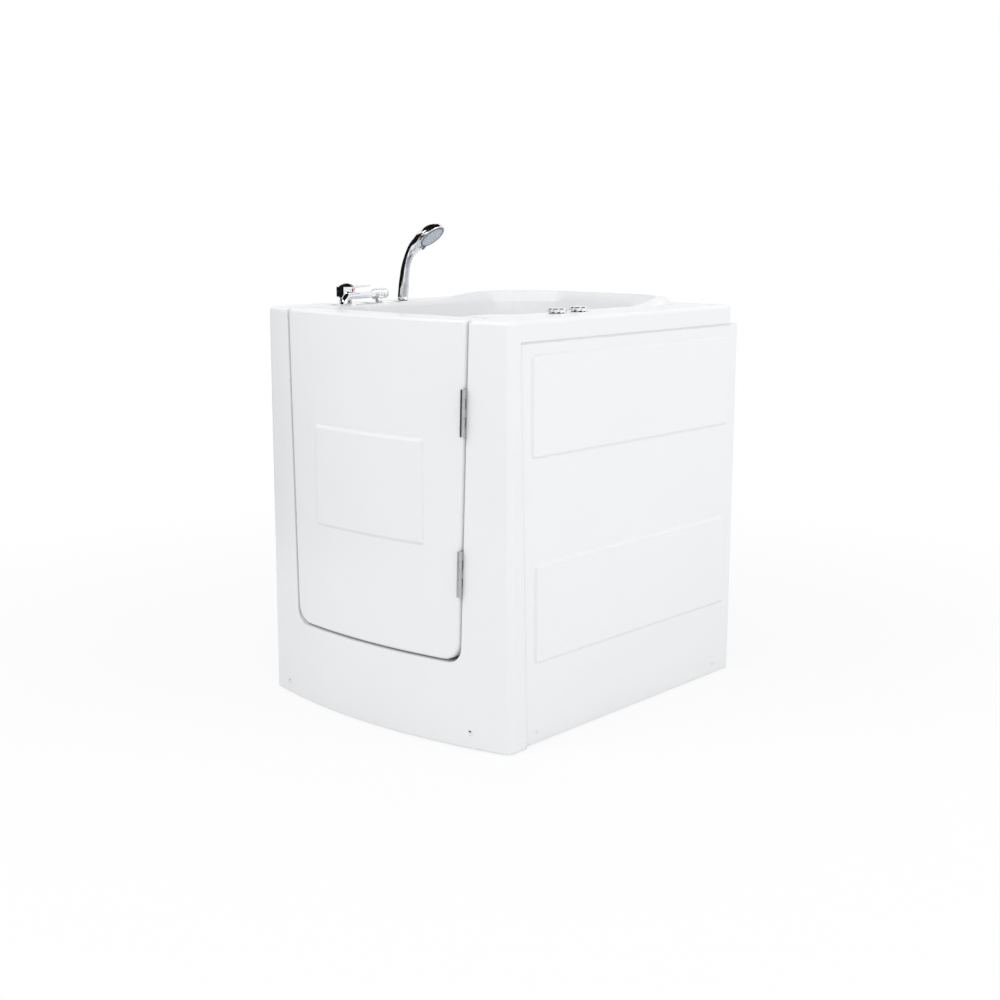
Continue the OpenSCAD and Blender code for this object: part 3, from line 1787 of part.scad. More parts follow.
tub_shell();
door_shell();
door_liner();
door_seal();
hinge_frame_leaves();
hinge_door_leaves();
hinge_pins();
latch_case();
latch_handle();
latch_bolt();
latch_keeper();
side_panel();
panel_screws();
panel_brackets();
skirt_screws();
skirt_brackets();
side_rails();
cross_rails();
corner_posts();
seat_rails();
seat_bearers();
foot_front_left();
foot_front_right();
foot_rear_left();
foot_rear_right();
base_board();
drain_flange();
drain_plug();
drain_shoe();
overflow_plate();
overflow_knob();
overflow_pipe();
suction_cover();
pump();
pump_motor();
suction_pipe();
jets();
jet_pipes();
air_knob_front();
air_knob_rear();
air_valves();
air_pipes();
mixer_body();
mixer_cap();
mixer_lever();
spout_base();
spout();
diverter_knob();
shower_holder();
hand_shower();
shower_face();
spray_selector();
tap_nuts();
tap_tails();
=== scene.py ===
import json
import math

import bmesh
import bpy
from mathutils import Matrix, Vector

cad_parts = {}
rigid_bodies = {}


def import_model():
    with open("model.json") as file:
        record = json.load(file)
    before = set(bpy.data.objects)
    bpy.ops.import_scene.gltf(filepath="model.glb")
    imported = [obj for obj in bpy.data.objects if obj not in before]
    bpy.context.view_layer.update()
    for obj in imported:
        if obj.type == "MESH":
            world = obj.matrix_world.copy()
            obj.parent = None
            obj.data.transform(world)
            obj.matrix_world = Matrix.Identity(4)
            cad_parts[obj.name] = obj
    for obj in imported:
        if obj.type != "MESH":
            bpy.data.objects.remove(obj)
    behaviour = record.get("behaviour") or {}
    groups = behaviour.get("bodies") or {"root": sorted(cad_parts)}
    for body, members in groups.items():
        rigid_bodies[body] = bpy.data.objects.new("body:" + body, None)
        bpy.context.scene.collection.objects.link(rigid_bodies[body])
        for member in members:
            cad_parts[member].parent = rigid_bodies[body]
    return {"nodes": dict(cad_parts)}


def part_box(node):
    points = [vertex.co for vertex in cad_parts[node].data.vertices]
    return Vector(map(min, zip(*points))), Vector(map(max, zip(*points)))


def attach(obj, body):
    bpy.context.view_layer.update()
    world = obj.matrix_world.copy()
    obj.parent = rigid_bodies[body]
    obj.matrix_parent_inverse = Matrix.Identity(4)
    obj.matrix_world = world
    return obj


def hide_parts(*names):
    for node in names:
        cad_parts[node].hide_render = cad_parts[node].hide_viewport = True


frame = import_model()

nodes = frame["nodes"]
for spare in [o for o in bpy.data.objects if o.name not in nodes and not o.name.startswith("body:")]:
    bpy.data.objects.remove(spare)
bpy.context.view_layer.update()

# ---------------------------------------------------------------- camera
# fitted to the photograph: angles in degrees, place in metres, sensor and lens in millimetres
AZIMUTH, ELEVATION, ROLL = (math.radians(a) for a in (41.235, 10.689, 0.181))
CAMERA_PLACE = (2.5201, -2.8761, 1.2037)
SENSOR, LENS = 36, 54.37
back = Vector((math.sin(AZIMUTH) * math.cos(ELEVATION),
               -math.cos(AZIMUTH) * math.cos(ELEVATION),
               math.sin(ELEVATION)))
level = (-back).cross(Vector((0, 0, 1))).normalized()
upward = level.cross(-back)
cam_x = math.cos(ROLL) * level + math.sin(ROLL) * upward
cam_y = -math.sin(ROLL) * level + math.cos(ROLL) * upward
camera = bpy.data.objects.new("camera", bpy.data.cameras.new("camera"))
camera.data.sensor_width = SENSOR
camera.data.lens = LENS
camera.matrix_world = Matrix((cam_x, cam_y, back)).transposed().to_4x4()
camera.location = CAMERA_PLACE
bpy.context.scene.collection.objects.link(camera)
bpy.context.scene.camera = camera
bpy.context.scene.view_settings.view_transform = "Standard"


# ---------------------------------------------------------------- node helpers
class Graph:
    """A material's node tree, with its shader ready."""

    def __init__(self, name):
        self.mat = bpy.data.materials.new(name)
        self.mat.use_nodes = True
        self.tree = self.mat.node_tree
        self.tree.nodes.clear()
        self.out = self.add("ShaderNodeOutputMaterial")
        self.shader = self.add("ShaderNodeBsdfPrincipled")
        self.link(self.shader.outputs[0], self.out.inputs["Surface"])
        self.place = self.add("ShaderNodeTexCoord").outputs["Object"]

    def add(self, kind, **settings):
        node = self.tree.nodes.new(kind)
        for key, value in settings.items():
            setattr(node, key, value)
        return node

    def link(self, a, b):
        self.tree.links.new(a, b)

    def set(self, **values):
        """Constants on the shader's own sockets."""
        for key, value in values.items():
            self.shader.inputs[key.replace("_", " ")].default_value = value

    def stretched(self, stretch):
        """The object's coordinates, scaled along each axis."""
        m = self.add("ShaderNodeMapping")
        m.inputs["Scale"].default_value = stretch
        self.link(self.place, m.inputs["Vector"])
        return m.outputs["Vector"]

    def noise(self, scale, detail=3, rough=0.5, stretch=None):
        """A noise pattern fixed to the object."""
        n = self.add("ShaderNodeTexNoise")
        n.inputs["Scale"].default_value = scale
        n.inputs["Detail"].default_value = detail
        n.inputs["Roughness"].default_value = rough
        self.link(self.stretched(stretch) if stretch else self.place, n.inputs["Vector"])
        return n.outputs["Fac"]

    def spread(self, value, low, high, start=0.0, end=1.0):
        """value from start..end mapped to low..high."""
        m = self.add("ShaderNodeMapRange")
        m.inputs["From Min"].default_value = start
        m.inputs["From Max"].default_value = end
        m.inputs["To Min"].default_value = low
        m.inputs["To Max"].default_value = high
        self.link(value, m.inputs["Value"])
        return m.outputs["Result"]

    def blend(self, factor, a, b):
        """A colour between a and b, which are colours or sockets."""
        m = self.add("ShaderNodeMix", data_type="RGBA")
        for name, end in (("A", a), ("B", b)):
            if hasattr(end, "links"):
                self.link(end, m.inputs[name])
            else:
                m.inputs[name].default_value = (*end, 1)
        self.link(factor, m.inputs["Factor"])
        return m.outputs["Result"]

    def bump(self, height, strength, distance, before=None):
        """A normal raised by height, on top of the normal before it."""
        b = self.add("ShaderNodeBump")
        b.inputs["Strength"].default_value = strength
        b.inputs["Distance"].default_value = distance
        self.link(height, b.inputs["Height"])
        if before:
            self.link(before, b.inputs["Normal"])
        return b.outputs["Normal"]

    def colour(self, socket):
        self.link(socket, self.shader.inputs["Base Color"])

    def drift(self, pattern, tint, darkest, start=0.35, end=0.65):
        """A base colour that drifts with the pattern from tint to a darker share of it."""
        share = self.spread(pattern, 0, 1, start, end)
        self.colour(self.blend(share, tint, tuple(c * darkest for c in tint)))

    def rough(self, socket):
        self.link(socket, self.shader.inputs["Roughness"])

    def normal(self, socket):
        self.link(socket, self.shader.inputs["Normal"])


def gloss_white(name, tint, rough, ripple):
    """Moulded acrylic: a deep gloss with a faint ripple and slow colour drift."""
    g = Graph(name)
    g.drift(g.noise(3.5, 2), tint, 0.988)
    g.rough(g.spread(g.noise(12, 2), rough * 0.9, rough * 1.15, 0.3, 0.7))
    eased = g.add("ShaderNodeBevel", samples=6)
    eased.inputs["Radius"].default_value = 0.003
    ripples = g.bump(g.noise(11, 1), ripple, 0.001, eased.outputs["Normal"])
    g.normal(g.bump(g.noise(420, 2), 0.02, 0.0001, ripples))
    g.set(IOR=1.46, Coat_Weight=0.08, Coat_Roughness=0.2)
    return g.mat


def polished(name, tint, rough, smear):
    """Chrome plate: near mirror, with faint wipe marks in the roughness."""
    g = Graph(name)
    g.set(Metallic=1.0)
    g.drift(g.noise(60, 2), tint, 0.96, 0.4, 0.6)
    g.rough(g.spread(g.noise(120, 4, 0.6, (1, 1, 0.25)), rough, rough + smear, 0.35, 0.7))
    g.normal(g.bump(g.noise(35, 1), 0.1, 0.0006))
    return g.mat


def brushed(name, tint, rough):
    """Drawn steel: long fine scratches along the height."""
    g = Graph(name)
    g.set(Metallic=1.0)
    lines = g.noise(900, 2, 0.5, (1, 1, 0.03))
    g.drift(lines, tint, 0.86)
    g.rough(g.spread(lines, rough, rough + 0.14, 0.3, 0.7))
    g.normal(g.bump(lines, 0.12, 0.0002))
    return g.mat


def zinc(name):
    """Galvanised tube: large crystal spangle with a dull bloom."""
    g = Graph(name)
    g.set(Metallic=0.85)
    cells = g.add("ShaderNodeTexVoronoi")
    cells.inputs["Scale"].default_value = 70
    g.link(g.place, cells.inputs["Vector"])
    sparkle = g.spread(cells.outputs["Color"], 0, 1, 0.1, 0.9)
    g.colour(g.blend(sparkle, (0.46, 0.48, 0.50), (0.60, 0.62, 0.64)))
    g.rough(g.spread(sparkle, 0.34, 0.52))
    g.normal(g.bump(g.noise(260, 3), 0.12, 0.0003))
    return g.mat


def matt_plastic(name, tint, rough, grain=520, depth=0.16, darkest=0.94):
    """Moulded plastic: fine spark texture and slight colour drift."""
    g = Graph(name)
    g.drift(g.noise(9, 3), tint, darkest)
    texture = g.noise(grain, 4, 0.6)
    g.rough(g.spread(texture, rough * 0.85, rough * 1.15, 0.3, 0.7))
    g.normal(g.bump(texture, depth, 0.0003))
    return g.mat


def rubber(name):
    """Extruded seal: fine lines along its length and a dusty bloom."""
    g = Graph(name)
    bloom = g.spread(g.noise(30, 5, 0.65), 0, 1, 0.45, 0.75)
    g.colour(g.blend(bloom, (0.035, 0.035, 0.037), (0.075, 0.075, 0.078)))
    g.rough(g.spread(bloom, 0.55, 0.78))
    g.normal(g.bump(g.noise(800, 2, 0.5, (1, 1, 0.05)), 0.2, 0.0002))
    return g.mat


def board(name):
    """Ply base: long grain with darker growth lines."""
    g = Graph(name)
    grain = g.noise(38, 6, 0.6, (1, 0.07, 1))
    rings = g.add("ShaderNodeTexWave")
    rings.inputs["Scale"].default_value = 5
    rings.inputs["Distortion"].default_value = 7
    rings.inputs["Detail"].default_value = 3
    g.link(g.stretched((1, 0.12, 1)), rings.inputs["Vector"])
    base = g.blend(g.spread(grain, 0, 1, 0.3, 0.7), (0.50, 0.35, 0.20), (0.62, 0.46, 0.29))
    g.colour(g.blend(g.spread(rings.outputs["Fac"], 0, 0.5), base, (0.36, 0.23, 0.12)))
    g.rough(g.spread(grain, 0.55, 0.75))
    g.normal(g.bump(grain, 0.25, 0.0004))
    return g.mat


WHITE = (0.84, 0.84, 0.85)

# one material for each slot of the part's source
slots = {
    "gel_coat": gloss_white("gel_coat", WHITE, 0.34, 0.10),
    "door_skin": gloss_white("door_skin", WHITE, 0.32, 0.10),
    "panel_skin": gloss_white("panel_skin", (0.845, 0.85, 0.855), 0.34, 0.14),
    "chrome": polished("chrome", (0.86, 0.87, 0.88), 0.035, 0.05),
    "steel": brushed("steel", (0.54, 0.54, 0.55), 0.22),
    "galvanised": zinc("galvanised"),
    "rubber": rubber("rubber"),
    "black_plastic": matt_plastic("black_plastic", (0.022, 0.022, 0.024), 0.42, darkest=0.75),
    "grey_plastic": matt_plastic("grey_plastic", (0.30, 0.31, 0.32), 0.45, darkest=0.9),
    "white_pipe": matt_plastic("white_pipe", (0.74, 0.74, 0.72), 0.36, 300, 0.08, 0.97),
    "board": board("board"),
    "brass": polished("brass", (0.72, 0.54, 0.27), 0.22, 0.16),
    "shower_plate": matt_plastic("shower_plate", (0.58, 0.64, 0.72), 0.28, 700, 0.05, 0.96),
    "selector_ring": matt_plastic("selector_ring", (0.20, 0.26, 0.35), 0.30, 600, 0.08, 0.92),
    "motor_paint": matt_plastic("motor_paint", (0.05, 0.055, 0.065), 0.38, 380, 0.2, 0.8),
}
for o in nodes.values():
    for place in o.material_slots:
        name = place.material.name
        place.material = slots[name if name in slots else name.rsplit(".", 1)[0]]


# ---------------------------------------------------------------- shading of the carried-over nodes
SEAM = 2e-5  # vertices closer than this are one
GENTLE = 30  # degrees; sharper edges stay sharp
KEEN = 80  # how strongly the larger faces set the shading


def smoothing(angle):
    """A modifier group: welds the seams and shades smooth across edges gentler than angle."""
    group = bpy.data.node_groups.new("smoothing_%d" % round(math.degrees(angle)), "GeometryNodeTree")
    group.interface.new_socket("Geometry", in_out="INPUT", socket_type="NodeSocketGeometry")
    group.interface.new_socket("Geometry", in_out="OUTPUT", socket_type="NodeSocketGeometry")
    start, end = group.nodes.new("NodeGroupInput"), group.nodes.new("NodeGroupOutput")
    clean = group.nodes.new("GeometryNodeRemoveAttribute")
    clean.inputs["Name"].default_value = "custom_normal"
    weld = group.nodes.new("GeometryNodeMergeByDistance")
    weld.inputs["Distance"].default_value = SEAM
    faces = group.nodes.new("GeometryNodeSetShadeSmooth")
    edges = group.nodes.new("GeometryNodeSetShadeSmooth")
    edges.domain = "EDGE"
    edges.inputs["Shade Smooth"].default_value = False
    turn = group.nodes.new("GeometryNodeInputMeshEdgeAngle")
    sharp = group.nodes.new("FunctionNodeCompare")
    sharp.data_type = "FLOAT"
    sharp.operation = "GREATER_THAN"
    sharp.inputs["B"].default_value = angle
    for a, b in ((start.outputs[0], clean.inputs["Geometry"]), (clean.outputs[0], weld.inputs["Geometry"]),
                 (weld.outputs[0], faces.inputs["Geometry"]), (faces.outputs[0], edges.inputs["Geometry"]),
                 (edges.outputs[0], end.inputs[0]), (turn.outputs["Unsigned Angle"], sharp.inputs["A"]),
                 (sharp.outputs["Result"], edges.inputs["Selection"])):
        group.links.new(a, b)
    return group


gentle = smoothing(math.radians(GENTLE))
for o in nodes.values():
    o.modifiers.new("smoothing", "NODES").node_group = gentle
    weights = o.modifiers.new("weights", "WEIGHTED_NORMAL")
    weights.keep_sharp = True
    weights.weight = KEEN


# ---------------------------------------------------------------- pieces that are made here
def skinned(mesh, rows, wrap):
    """Faces between neighbouring rows of vertices; wrap joins the end of each row to its start."""
    for low, high in zip(rows, rows[1:]):
        for k in range(len(low) if wrap else len(low) - 1):
            n = (k + 1) % len(low)
            mesh.faces.new((low[k], low[n], high[n], high[k]))


def capped(mesh, rings):
    """Closes a tube of rings at both ends."""
    mesh.faces.new(rings[0][::-1])
    mesh.faces.new(rings[-1])


def finished(name, mesh, material):
    """The work mesh as a piece of the scene."""
    data = bpy.data.meshes.new(name)
    mesh.to_mesh(data)
    mesh.free()
    data.materials.append(material)
    piece = bpy.data.objects.new(name, data)
    bpy.context.scene.collection.objects.link(piece)
    return piece


def aimed(o, place, direction, axis):
    """Puts an object at place, with its axis along direction."""
    o.location = place
    o.rotation_mode = "QUATERNION"
    o.rotation_quaternion = Vector(direction).to_track_quat(axis, "Y")


def turned(name, profile, place, facing, material, body, steps=40):
    """A small turned piece: profile is (radius, height) from the rim to the top, spun about its axis."""
    mesh = bmesh.new()
    turns = [math.tau * k / steps for k in range(steps)]
    rings = [[mesh.verts.new((radius * math.cos(a), radius * math.sin(a), height)) for a in turns]
             for radius, height in profile]
    skinned(mesh, rings, wrap=True)
    capped(mesh, rings)
    for face in mesh.faces:
        face.smooth = True
    piece = finished(name, mesh, material)
    aimed(piece, place, facing, "Z")
    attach(piece, body)
    return piece


def enamel(name, tint):
    """Fired enamel: glossy, with slight pooling in a fine random pattern."""
    g = Graph(name)
    pool = g.spread(g.noise(900, 3), 0, 1, 0.35, 0.65)
    g.colour(g.blend(pool, tint, tuple(c * 0.8 for c in tint)))
    g.rough(g.spread(pool, 0.12, 0.22))
    g.normal(g.bump(g.noise(1500, 2), 0.1, 0.0001))
    g.set(Coat_Weight=0.5, Coat_Roughness=0.05)
    return g.mat


def dome(radius, height, rings=6):
    """Profile of a shallow round cap."""
    arc = [math.radians(85) * k / (rings - 1) for k in range(rings)]
    return [(radius, -height)] + [(radius * math.cos(a), height * math.sin(a)) for a in arc]


# the red dot on the front of the mixer's cap
DOT_TURN, DOT_UP = math.radians(2.4), 0.0035
DOT_R, DOT_H = 0.0036, 0.0008
cap_low, cap_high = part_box("mixer_cap")
cap_r = (cap_high[0] - cap_low[0]) / 2
dot_out = Vector((math.cos(DOT_TURN), math.sin(DOT_TURN), 0))
cap_axis = Vector(((cap_low[0] + cap_high[0]) / 2, (cap_low[1] + cap_high[1]) / 2, cap_low[2] + DOT_UP))
turned("warm_dot", dome(DOT_R, DOT_H), cap_axis + dot_out * cap_r, dot_out,
       enamel("red_enamel", (0.62, 0.02, 0.015)), "mixer_cap")


# ---------------------------------------------------------------- the hand shower's flowing body
# millimetres in the shower's own upright plane, which starts on the deck at the holder's middle
HEAD_LEAN = 42  # degrees between the face and the deck
HEAD_CENTRE = (93, 167)
WIDEST = 9  # the head is widest this far behind its face
RIM_BACK = 5.2  # the body's underside lies this far behind the face, inside the rim
DECK_Z = 0.98
holder_low, holder_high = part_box("shower_holder")
foot = ((holder_low[0] + holder_high[0]) / 2, (holder_low[1] + holder_high[1]) / 2, DECK_Z)
tilt = math.radians(HEAD_LEAN)
shower_place = Matrix.Translation(foot) @ Matrix.Rotation(math.radians(10), 4, "Z") @ Matrix.Scale(0.001, 4)


def on_head(along, depth):
    """x and z of a point that lies along the head's face from its centre, and depth behind it."""
    return (HEAD_CENTRE[0] + along * math.cos(tilt) - depth * math.sin(tilt),
            HEAD_CENTRE[1] + along * math.sin(tilt) + depth * math.cos(tilt))


def head_station(along, half_width, top, low=RIM_BACK):
    """A station on the head, with its top and its underside measured behind the face."""
    return *on_head(along, WIDEST), HEAD_LEAN, half_width, top - WIDEST, WIDEST - low, 4


# x, z, direction, half width, height above and below the line, squareness of the underside
stations = [
    (-1.4, 8.4, 83, 12.6, 12.6, 12.6, 2), (-1.2, 9.6, 83, 13.7, 13.7, 13.7, 2),
    (0.4, 24, 83, 13.9, 13.9, 13.9, 2), (2.8, 46, 82.5, 13.9, 13.9, 13.9, 2),
    (4.9, 62, 82, 13.2, 13.2, 13.2, 2), (7.2, 78, 80, 12.7, 12.7, 12.7, 2),
    (10.2, 93, 75, 12.0, 12.0, 12.0, 2), (15.2, 107.5, 67, 11.7, 11.9, 11.5, 2),
    (22.6, 122, 60, 13.0, 13.0, 12.2, 2), (33.2, 136.5, 52, 17.5, 15.5, 15.0, 2.2),
    (45.0, 147.6, 46, 25, 16.5, 17, 2.6),
    head_station(-30, 34.5, 35.5), head_station(-15, 38.6, 35.6), head_station(0, 39.5, 33.9),
    head_station(13, 37.3, 30.2), head_station(24, 31.4, 24.8), head_station(32, 23.2, 18.5),
    head_station(37, 13.8, 12.9), head_station(39.2, 4.8, 9.8, 6.5)]


def between(before, start, end, after, t):
    """A smooth curve through the stations, at t of the way from start to end."""
    return [0.5 * (2 * b + (c - a) * t + (2 * a - 5 * b + 4 * c - d) * t * t
                   + (3 * b - a - 3 * c + d) * t ** 3)
            for a, b, c, d in zip(before, start, end, after)]


def lofted(stations, steps, around):
    """Rings of points, one round the line at each of the steps between the stations."""
    last = len(stations) - 1
    rows = []
    for i in range(last):
        four = stations[max(i - 1, 0)], stations[i], stations[i + 1], stations[min(i + 2, last)]
        rows += [between(*four, k / steps) for k in range(steps)]
    rows.append(stations[-1])
    rings = []
    for x, z, direction, half_width, above, below, square in rows:
        heading, ring = math.radians(direction), []
        for k in range(around):
            c, s = math.cos(math.tau * k / around), math.sin(math.tau * k / around)
            power = 2 / max(square, 2) if s < 0 else 1
            height = (above if s > 0 else below) * math.copysign(abs(s) ** power, s)
            ring.append((x - math.sin(heading) * height, half_width * math.copysign(abs(c) ** power, c),
                         z + math.cos(heading) * height))
        rings.append(ring)
    return rings


def ringed(name, rings, material, body, closed=False):
    """Skins rings of points into one smooth piece; closed joins the last ring to the first."""
    mesh = bmesh.new()
    rows = [[mesh.verts.new(p) for p in ring] for ring in rings]
    skinned(mesh, rows + rows[:1] if closed else rows, wrap=True)
    if not closed:
        capped(mesh, rows)
    bmesh.ops.recalc_face_normals(mesh, faces=mesh.faces)
    for face in mesh.faces:
        face.smooth = len(face.verts) == 4
    piece = finished(name, mesh, material)
    piece.matrix_world = shower_place
    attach(piece, body)
    return piece


shower_body = ringed("shower_body", lofted(stations, 6, 72), slots["chrome"], "hand_shower")
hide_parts("hand_shower")

# the rim that stands round the spray selector: (radius, depth behind the face)
rim_profile = [(35.3, 9), (35.3, 0.5), (35.8, -0.1), (37.6, -0.2), (39.0, 0.4), (39.7, 2.2), (39.7, 9)]
RIM_STEPS = 96
rim_rings = []
for turn in (math.tau * k / RIM_STEPS for k in range(RIM_STEPS)):
    ring = []
    for radius, depth in rim_profile:
        x, z = on_head(radius * math.cos(turn), depth)
        ring.append((x, radius * math.sin(turn), z))
    rim_rings.append(ring)
ringed("shower_rim", rim_rings, slots["chrome"], "hand_shower", closed=True)


# ---------------------------------------------------------------- the side panel's moulded skin
panel_low, panel_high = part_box("side_panel")
PANEL_FACE = 0.393
EDGE_R, EDGE_DEPTH = 0.004, 0.024  # the edge's roll, and how deep it turns in
FRONT_LEAN = 28 / 932  # the front edge's slope, as on the shell's corner return
FIELDS = [((-0.349, 0.447), (0.669, 0.905)), ((-0.333, 0.452), (0.194, 0.432))]
FIELD_H, FIELD_SLOPE, FIELD_R = 0.006, 0.0085, 0.015
PANEL_WALL = 0.0035


def grid_lines(start, end, edges):
    """Values from start to end, close together near the edges and further apart elsewhere."""
    fine, coarse, reach = 0.0011, 0.012, 0.013
    lines, at = [], start
    while at < end - 0.0005:
        lines.append(at)
        near = min(abs(at + 0.001 - e) for e in edges)
        at += fine if near < reach else min(coarse, max(fine, near - coarse))
    return lines + [end]


def depth_inside(u, v, u_span, v_span, corner):
    """How far a point lies inside a rectangle whose corners are round."""
    du = abs(u - (u_span[0] + u_span[1]) / 2) - (u_span[1] - u_span[0]) / 2 + corner
    dv = abs(v - (v_span[0] + v_span[1]) / 2) - (v_span[1] - v_span[0]) / 2 + corner
    return corner - math.hypot(max(du, 0), max(dv, 0)) - min(max(du, dv), 0)


def raised(y, z):
    """Height of the two raised fields over the panel's face, with eased slopes and round corners."""
    for y_span, z_span in FIELDS:
        inside = depth_inside(y, z, y_span, z_span, FIELD_R)
        if inside > 0:
            t = min(inside / FIELD_SLOPE, 1)
            return FIELD_H * t * t * (3 - 2 * t)
    return 0


def panel_skin():
    """The side panel as one moulded sheet: its face with the raised fields, and its edges rolled in."""
    y_cut = FIELDS[0][0][0] - 0.001
    z0, z1 = panel_low[2] + EDGE_R, panel_high[2] - EDGE_R
    y1 = panel_high[1] - EDGE_R
    y_lines = grid_lines(panel_low[1] + EDGE_R, y1, [e for field in FIELDS for e in field[0]])
    z_lines = grid_lines(z0, z1, [e for field in FIELDS for e in field[1]])
    mesh = bmesh.new()
    rows = []
    for z in z_lines:
        front = panel_low[1] + EDGE_R + (panel_high[2] - z) * FRONT_LEAN
        row = []
        for y in y_lines:
            if y < y_cut:
                y = front + (y - y_lines[0]) / (y_cut - y_lines[0]) * (y_cut - front)
            row.append(mesh.verts.new((PANEL_FACE + raised(y, z), y, z)))
        rows.append(row)
    skinned(mesh, rows, wrap=False)
    # the outline's vertices in order, each with the way out of the face there
    low_edge, rear_edge = [(v, 0, -1) for v in rows[0][1:-1]], [(row[-1], 1, 0) for row in rows[1:-1]]
    top_edge, front_edge = [(v, 0, 1) for v in rows[-1][-2:0:-1]], [(row[0], -1, 0) for row in rows[-2:0:-1]]
    loop = ([(rows[0][0], -1, -1)] + low_edge + [(rows[0][-1], 1, -1)] + rear_edge
            + [(rows[-1][-1], 1, 1)] + top_edge + [(rows[-1][0], -1, 1)] + front_edge)
    angles = [math.radians(d) for d in (15, 30, 45, 60, 75, 90)]
    folds = [(math.sin(a) * EDGE_R, (1 - math.cos(a)) * EDGE_R) for a in angles]
    ring = [v for v, _, _ in loop]
    for out, deep in folds + [(EDGE_R, EDGE_DEPTH)]:
        fresh = [mesh.verts.new((PANEL_FACE - deep, v.co.y + dy * out, v.co.z + dz * out))
                 for v, dy, dz in loop]
        for k in range(len(ring)):
            n = (k + 1) % len(ring)
            mesh.faces.new((ring[n], ring[k], fresh[k], fresh[n]))
        ring = fresh
    for face in mesh.faces:
        face.smooth = True
    piece = finished("panel_skin", mesh, slots["panel_skin"])
    thick = piece.modifiers.new("thickness", "SOLIDIFY")
    thick.thickness, thick.offset = PANEL_WALL, -1
    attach(piece, "root")
    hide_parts("side_panel")


panel_skin()


def panel_seal():
    """White sealant bead in the corner between the panel's top edge and the rim above it."""
    y0, y1, z0, z1 = panel_low[1] + EDGE_R, 0.4455, panel_high[2] - 0.0038, 0.9319
    outline = [(0.374, z0), (0.3928, z0), (0.3954, (z0 + z1) / 2), (0.3975, z1), (0.374, z1)]
    mesh = bmesh.new()
    ends = [[mesh.verts.new((x, y, z)) for x, z in outline] for y in (y0, y1)]
    skinned(mesh, ends, wrap=True)
    capped(mesh, ends)
    bmesh.ops.recalc_face_normals(mesh, faces=mesh.faces)
    piece = finished("panel_seal", mesh, slots["panel_skin"])
    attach(piece, "root")


panel_seal()


def emboss_border():
    """Eased border with round corners over the edge of the door's raised field, on the door's bow."""
    bow_r, bow_cy = 1.48205, 1.00605  # the door's outer face: radius, and where its axis stands
    x_span, z_span, corner = (-0.183, 0.177), (0.465, 0.710), 0.0075
    rise, slope, band = 0.00597, 0.0095, 0.018  # height, width of the slope, width of the whole border
    sunk = 0.0006  # the outer edge lies this far under the door's face
    margin = 0.001
    xs = grid_lines(x_span[0] - margin, x_span[1] + margin, x_span)
    zs = grid_lines(z_span[0] - margin, z_span[1] + margin, z_span)
    mesh = bmesh.new()
    rows = []
    for z in zs:
        row = []
        for x in xs:
            d = depth_inside(x, z, x_span, z_span, corner)
            height = rise * math.sin(math.pi / 2 * min(d / slope, 1)) if d > 0 else -sunk
            row.append((mesh.verts.new((x, bow_cy - math.sqrt((bow_r + height) ** 2 - x * x), z)), d))
        rows.append(row)
    for low, high in zip(rows, rows[1:]):
        for k in range(len(low) - 1):
            corners = (low[k], low[k + 1], high[k + 1], high[k])
            if max(d for _, d in corners) > 0 and min(d for _, d in corners) < band:
                mesh.faces.new([v for v, _ in corners]).smooth = True
    bmesh.ops.delete(mesh, geom=[v for v in mesh.verts if not v.link_faces], context="VERTS")
    piece = finished("emboss_border", mesh, slots["door_skin"])
    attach(piece, "door")


emboss_border()


# ---------------------------------------------------------------- stage and light
def plane(name, size):
    """A flat sheet that belongs to the stage."""
    mesh = bpy.data.meshes.new(name)
    w, h = size[0] / 2, size[1] / 2
    mesh.from_pydata([(-w, -h, 0), (w, -h, 0), (w, h, 0), (-w, h, 0)], [], [(0, 1, 2, 3)])
    o = bpy.data.objects.new(name, mesh)
    bpy.context.scene.collection.objects.link(o)
    return o


def seen_rays(tree):
    """1 for rays that see a surface, directly, in a reflection or through glass, and 0 for rays of light."""
    path = tree.nodes.new("ShaderNodeLightPath")
    seen = path.outputs["Is Camera Ray"]
    for kind in ("Is Glossy Ray", "Is Transmission Ray"):
        either = tree.nodes.new("ShaderNodeMath")
        either.operation = "MAXIMUM"
        tree.links.new(seen, either.inputs[0])
        tree.links.new(path.outputs[kind], either.inputs[1])
        seen = either.outputs[0]
    return seen


def mixed(tree, share, plain, white, out):
    """Sends the plain shader to the output, and share of the white one."""
    mix = tree.nodes.new("ShaderNodeMixShader")
    tree.links.new(share, mix.inputs["Fac"])
    tree.links.new(plain.outputs[0], mix.inputs[1])
    tree.links.new(white.outputs[0], mix.inputs[2])
    tree.links.new(mix.outputs[0], out.inputs["Surface"])


# a pale floor that keeps the shadow near the tub and fades to white further out
SHADOW_KEEP, FADE_START, FADE_END = 0.86, 0.9, 2.6
floor = plane("floor", (60, 60))
g = Graph("floor")
g.set(Roughness=0.9, Specular_IOR_Level=0.0)
g.colour(g.blend(g.spread(g.noise(6, 2), 0, 1), (0.80, 0.80, 0.80), (0.82, 0.82, 0.82)))
away = g.add("ShaderNodeVectorMath", operation="LENGTH")
g.link(g.place, away.inputs[0])
share = g.add("ShaderNodeMath", operation="MULTIPLY")
g.link(seen_rays(g.tree), share.inputs[0])
g.link(g.spread(away.outputs["Value"], SHADOW_KEEP, 1.0, FADE_START, FADE_END), share.inputs[1])
mixed(g.tree, share.outputs[0], g.shader, g.add("ShaderNodeEmission"), g.out)
floor.data.materials.append(g.mat)

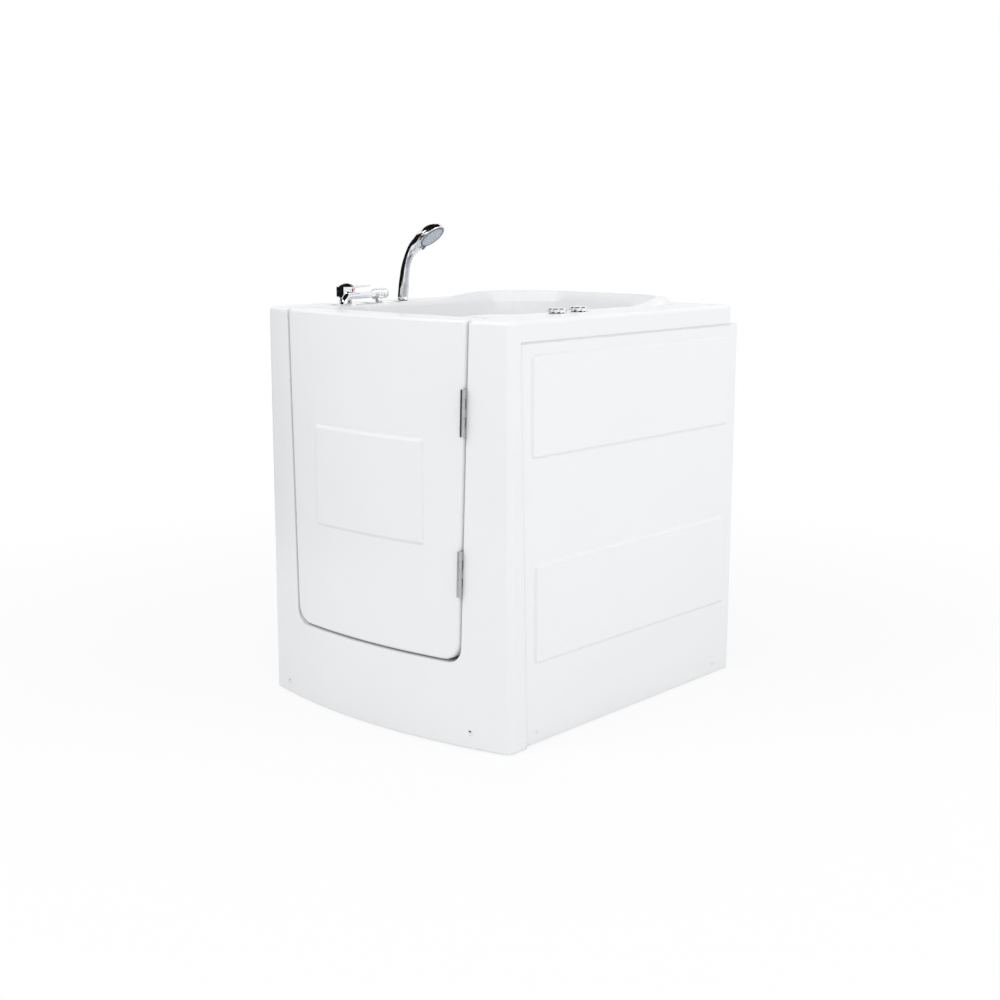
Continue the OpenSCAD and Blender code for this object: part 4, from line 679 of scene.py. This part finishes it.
SKY_TINT, SKY_STRENGTH = (0.97, 0.985, 1, 1), 0.62
world = bpy.data.worlds.new("world")
bpy.context.scene.world = world
world.use_nodes = True
tree = world.node_tree
tree.nodes.clear()
bright, soft = tree.nodes.new("ShaderNodeBackground"), tree.nodes.new("ShaderNodeBackground")
bright.inputs["Color"].default_value = (1, 1, 1, 1)
soft.inputs["Color"].default_value = SKY_TINT
soft.inputs["Strength"].default_value = SKY_STRENGTH
mixed(tree, seen_rays(tree), soft, bright, tree.nodes.new("ShaderNodeOutputWorld"))


def lamp(name, place, aim, size, power):
    """A soft box at place that points at aim."""
    data = bpy.data.lights.new(name, "AREA")
    data.shape, data.size, data.size_y = "RECTANGLE", size[0], size[1]
    data.energy = power
    o = bpy.data.objects.new(name, data)
    aimed(o, place, Vector(aim) - Vector(place), "-Z")
    bpy.context.scene.collection.objects.link(o)
    return o


# name, place, aim, size and power
lamp("key", (-0.6, -2.9, 3.2), (0, 0, 0.6), (2.6, 2.0), 50)
lamp("side", (3.3, 0.9, 2.3), (0, 0, 0.5), (2.2, 2.2), 40)
lamp("top", (0, 0.3, 3.6), (0, 0, 0.5), (2.6, 2.6), 16)
fill = lamp("fill", (2.6, -2.9, 1.9), (0, 0, 0.8), (2.6, 2.0), 22)
fill.visible_glossy = False


def flag(name, size, place, aim):
    """A dark card that only reflections see, so that polished metal has its dark bands."""
    o = plane(name, size)
    aimed(o, place, Vector(aim) - Vector(place), "Z")
    g = Graph(name)
    g.set(Roughness=1.0, Specular_IOR_Level=0.0)
    g.colour(g.blend(g.noise(2), (0.008, 0.008, 0.008), (0.014, 0.014, 0.014)))
    o.data.materials.append(g.mat)
    o.visible_camera = o.visible_diffuse = o.visible_shadow = o.visible_transmission = False


# name, size, place and aim
flag("flag_left", (4.4, 2.4), (-1.99, -1.21, 0.8), (-0.31, -0.12, 1.0))
flag("flag_front", (1.5, 2.2), (-0.13, -2.71, 0.8), (-0.31, -0.12, 1.0))
flag("flag_above", (3.4, 3.0), (0.0, -0.3, 2.2), (0.0, -0.3, 1.0))
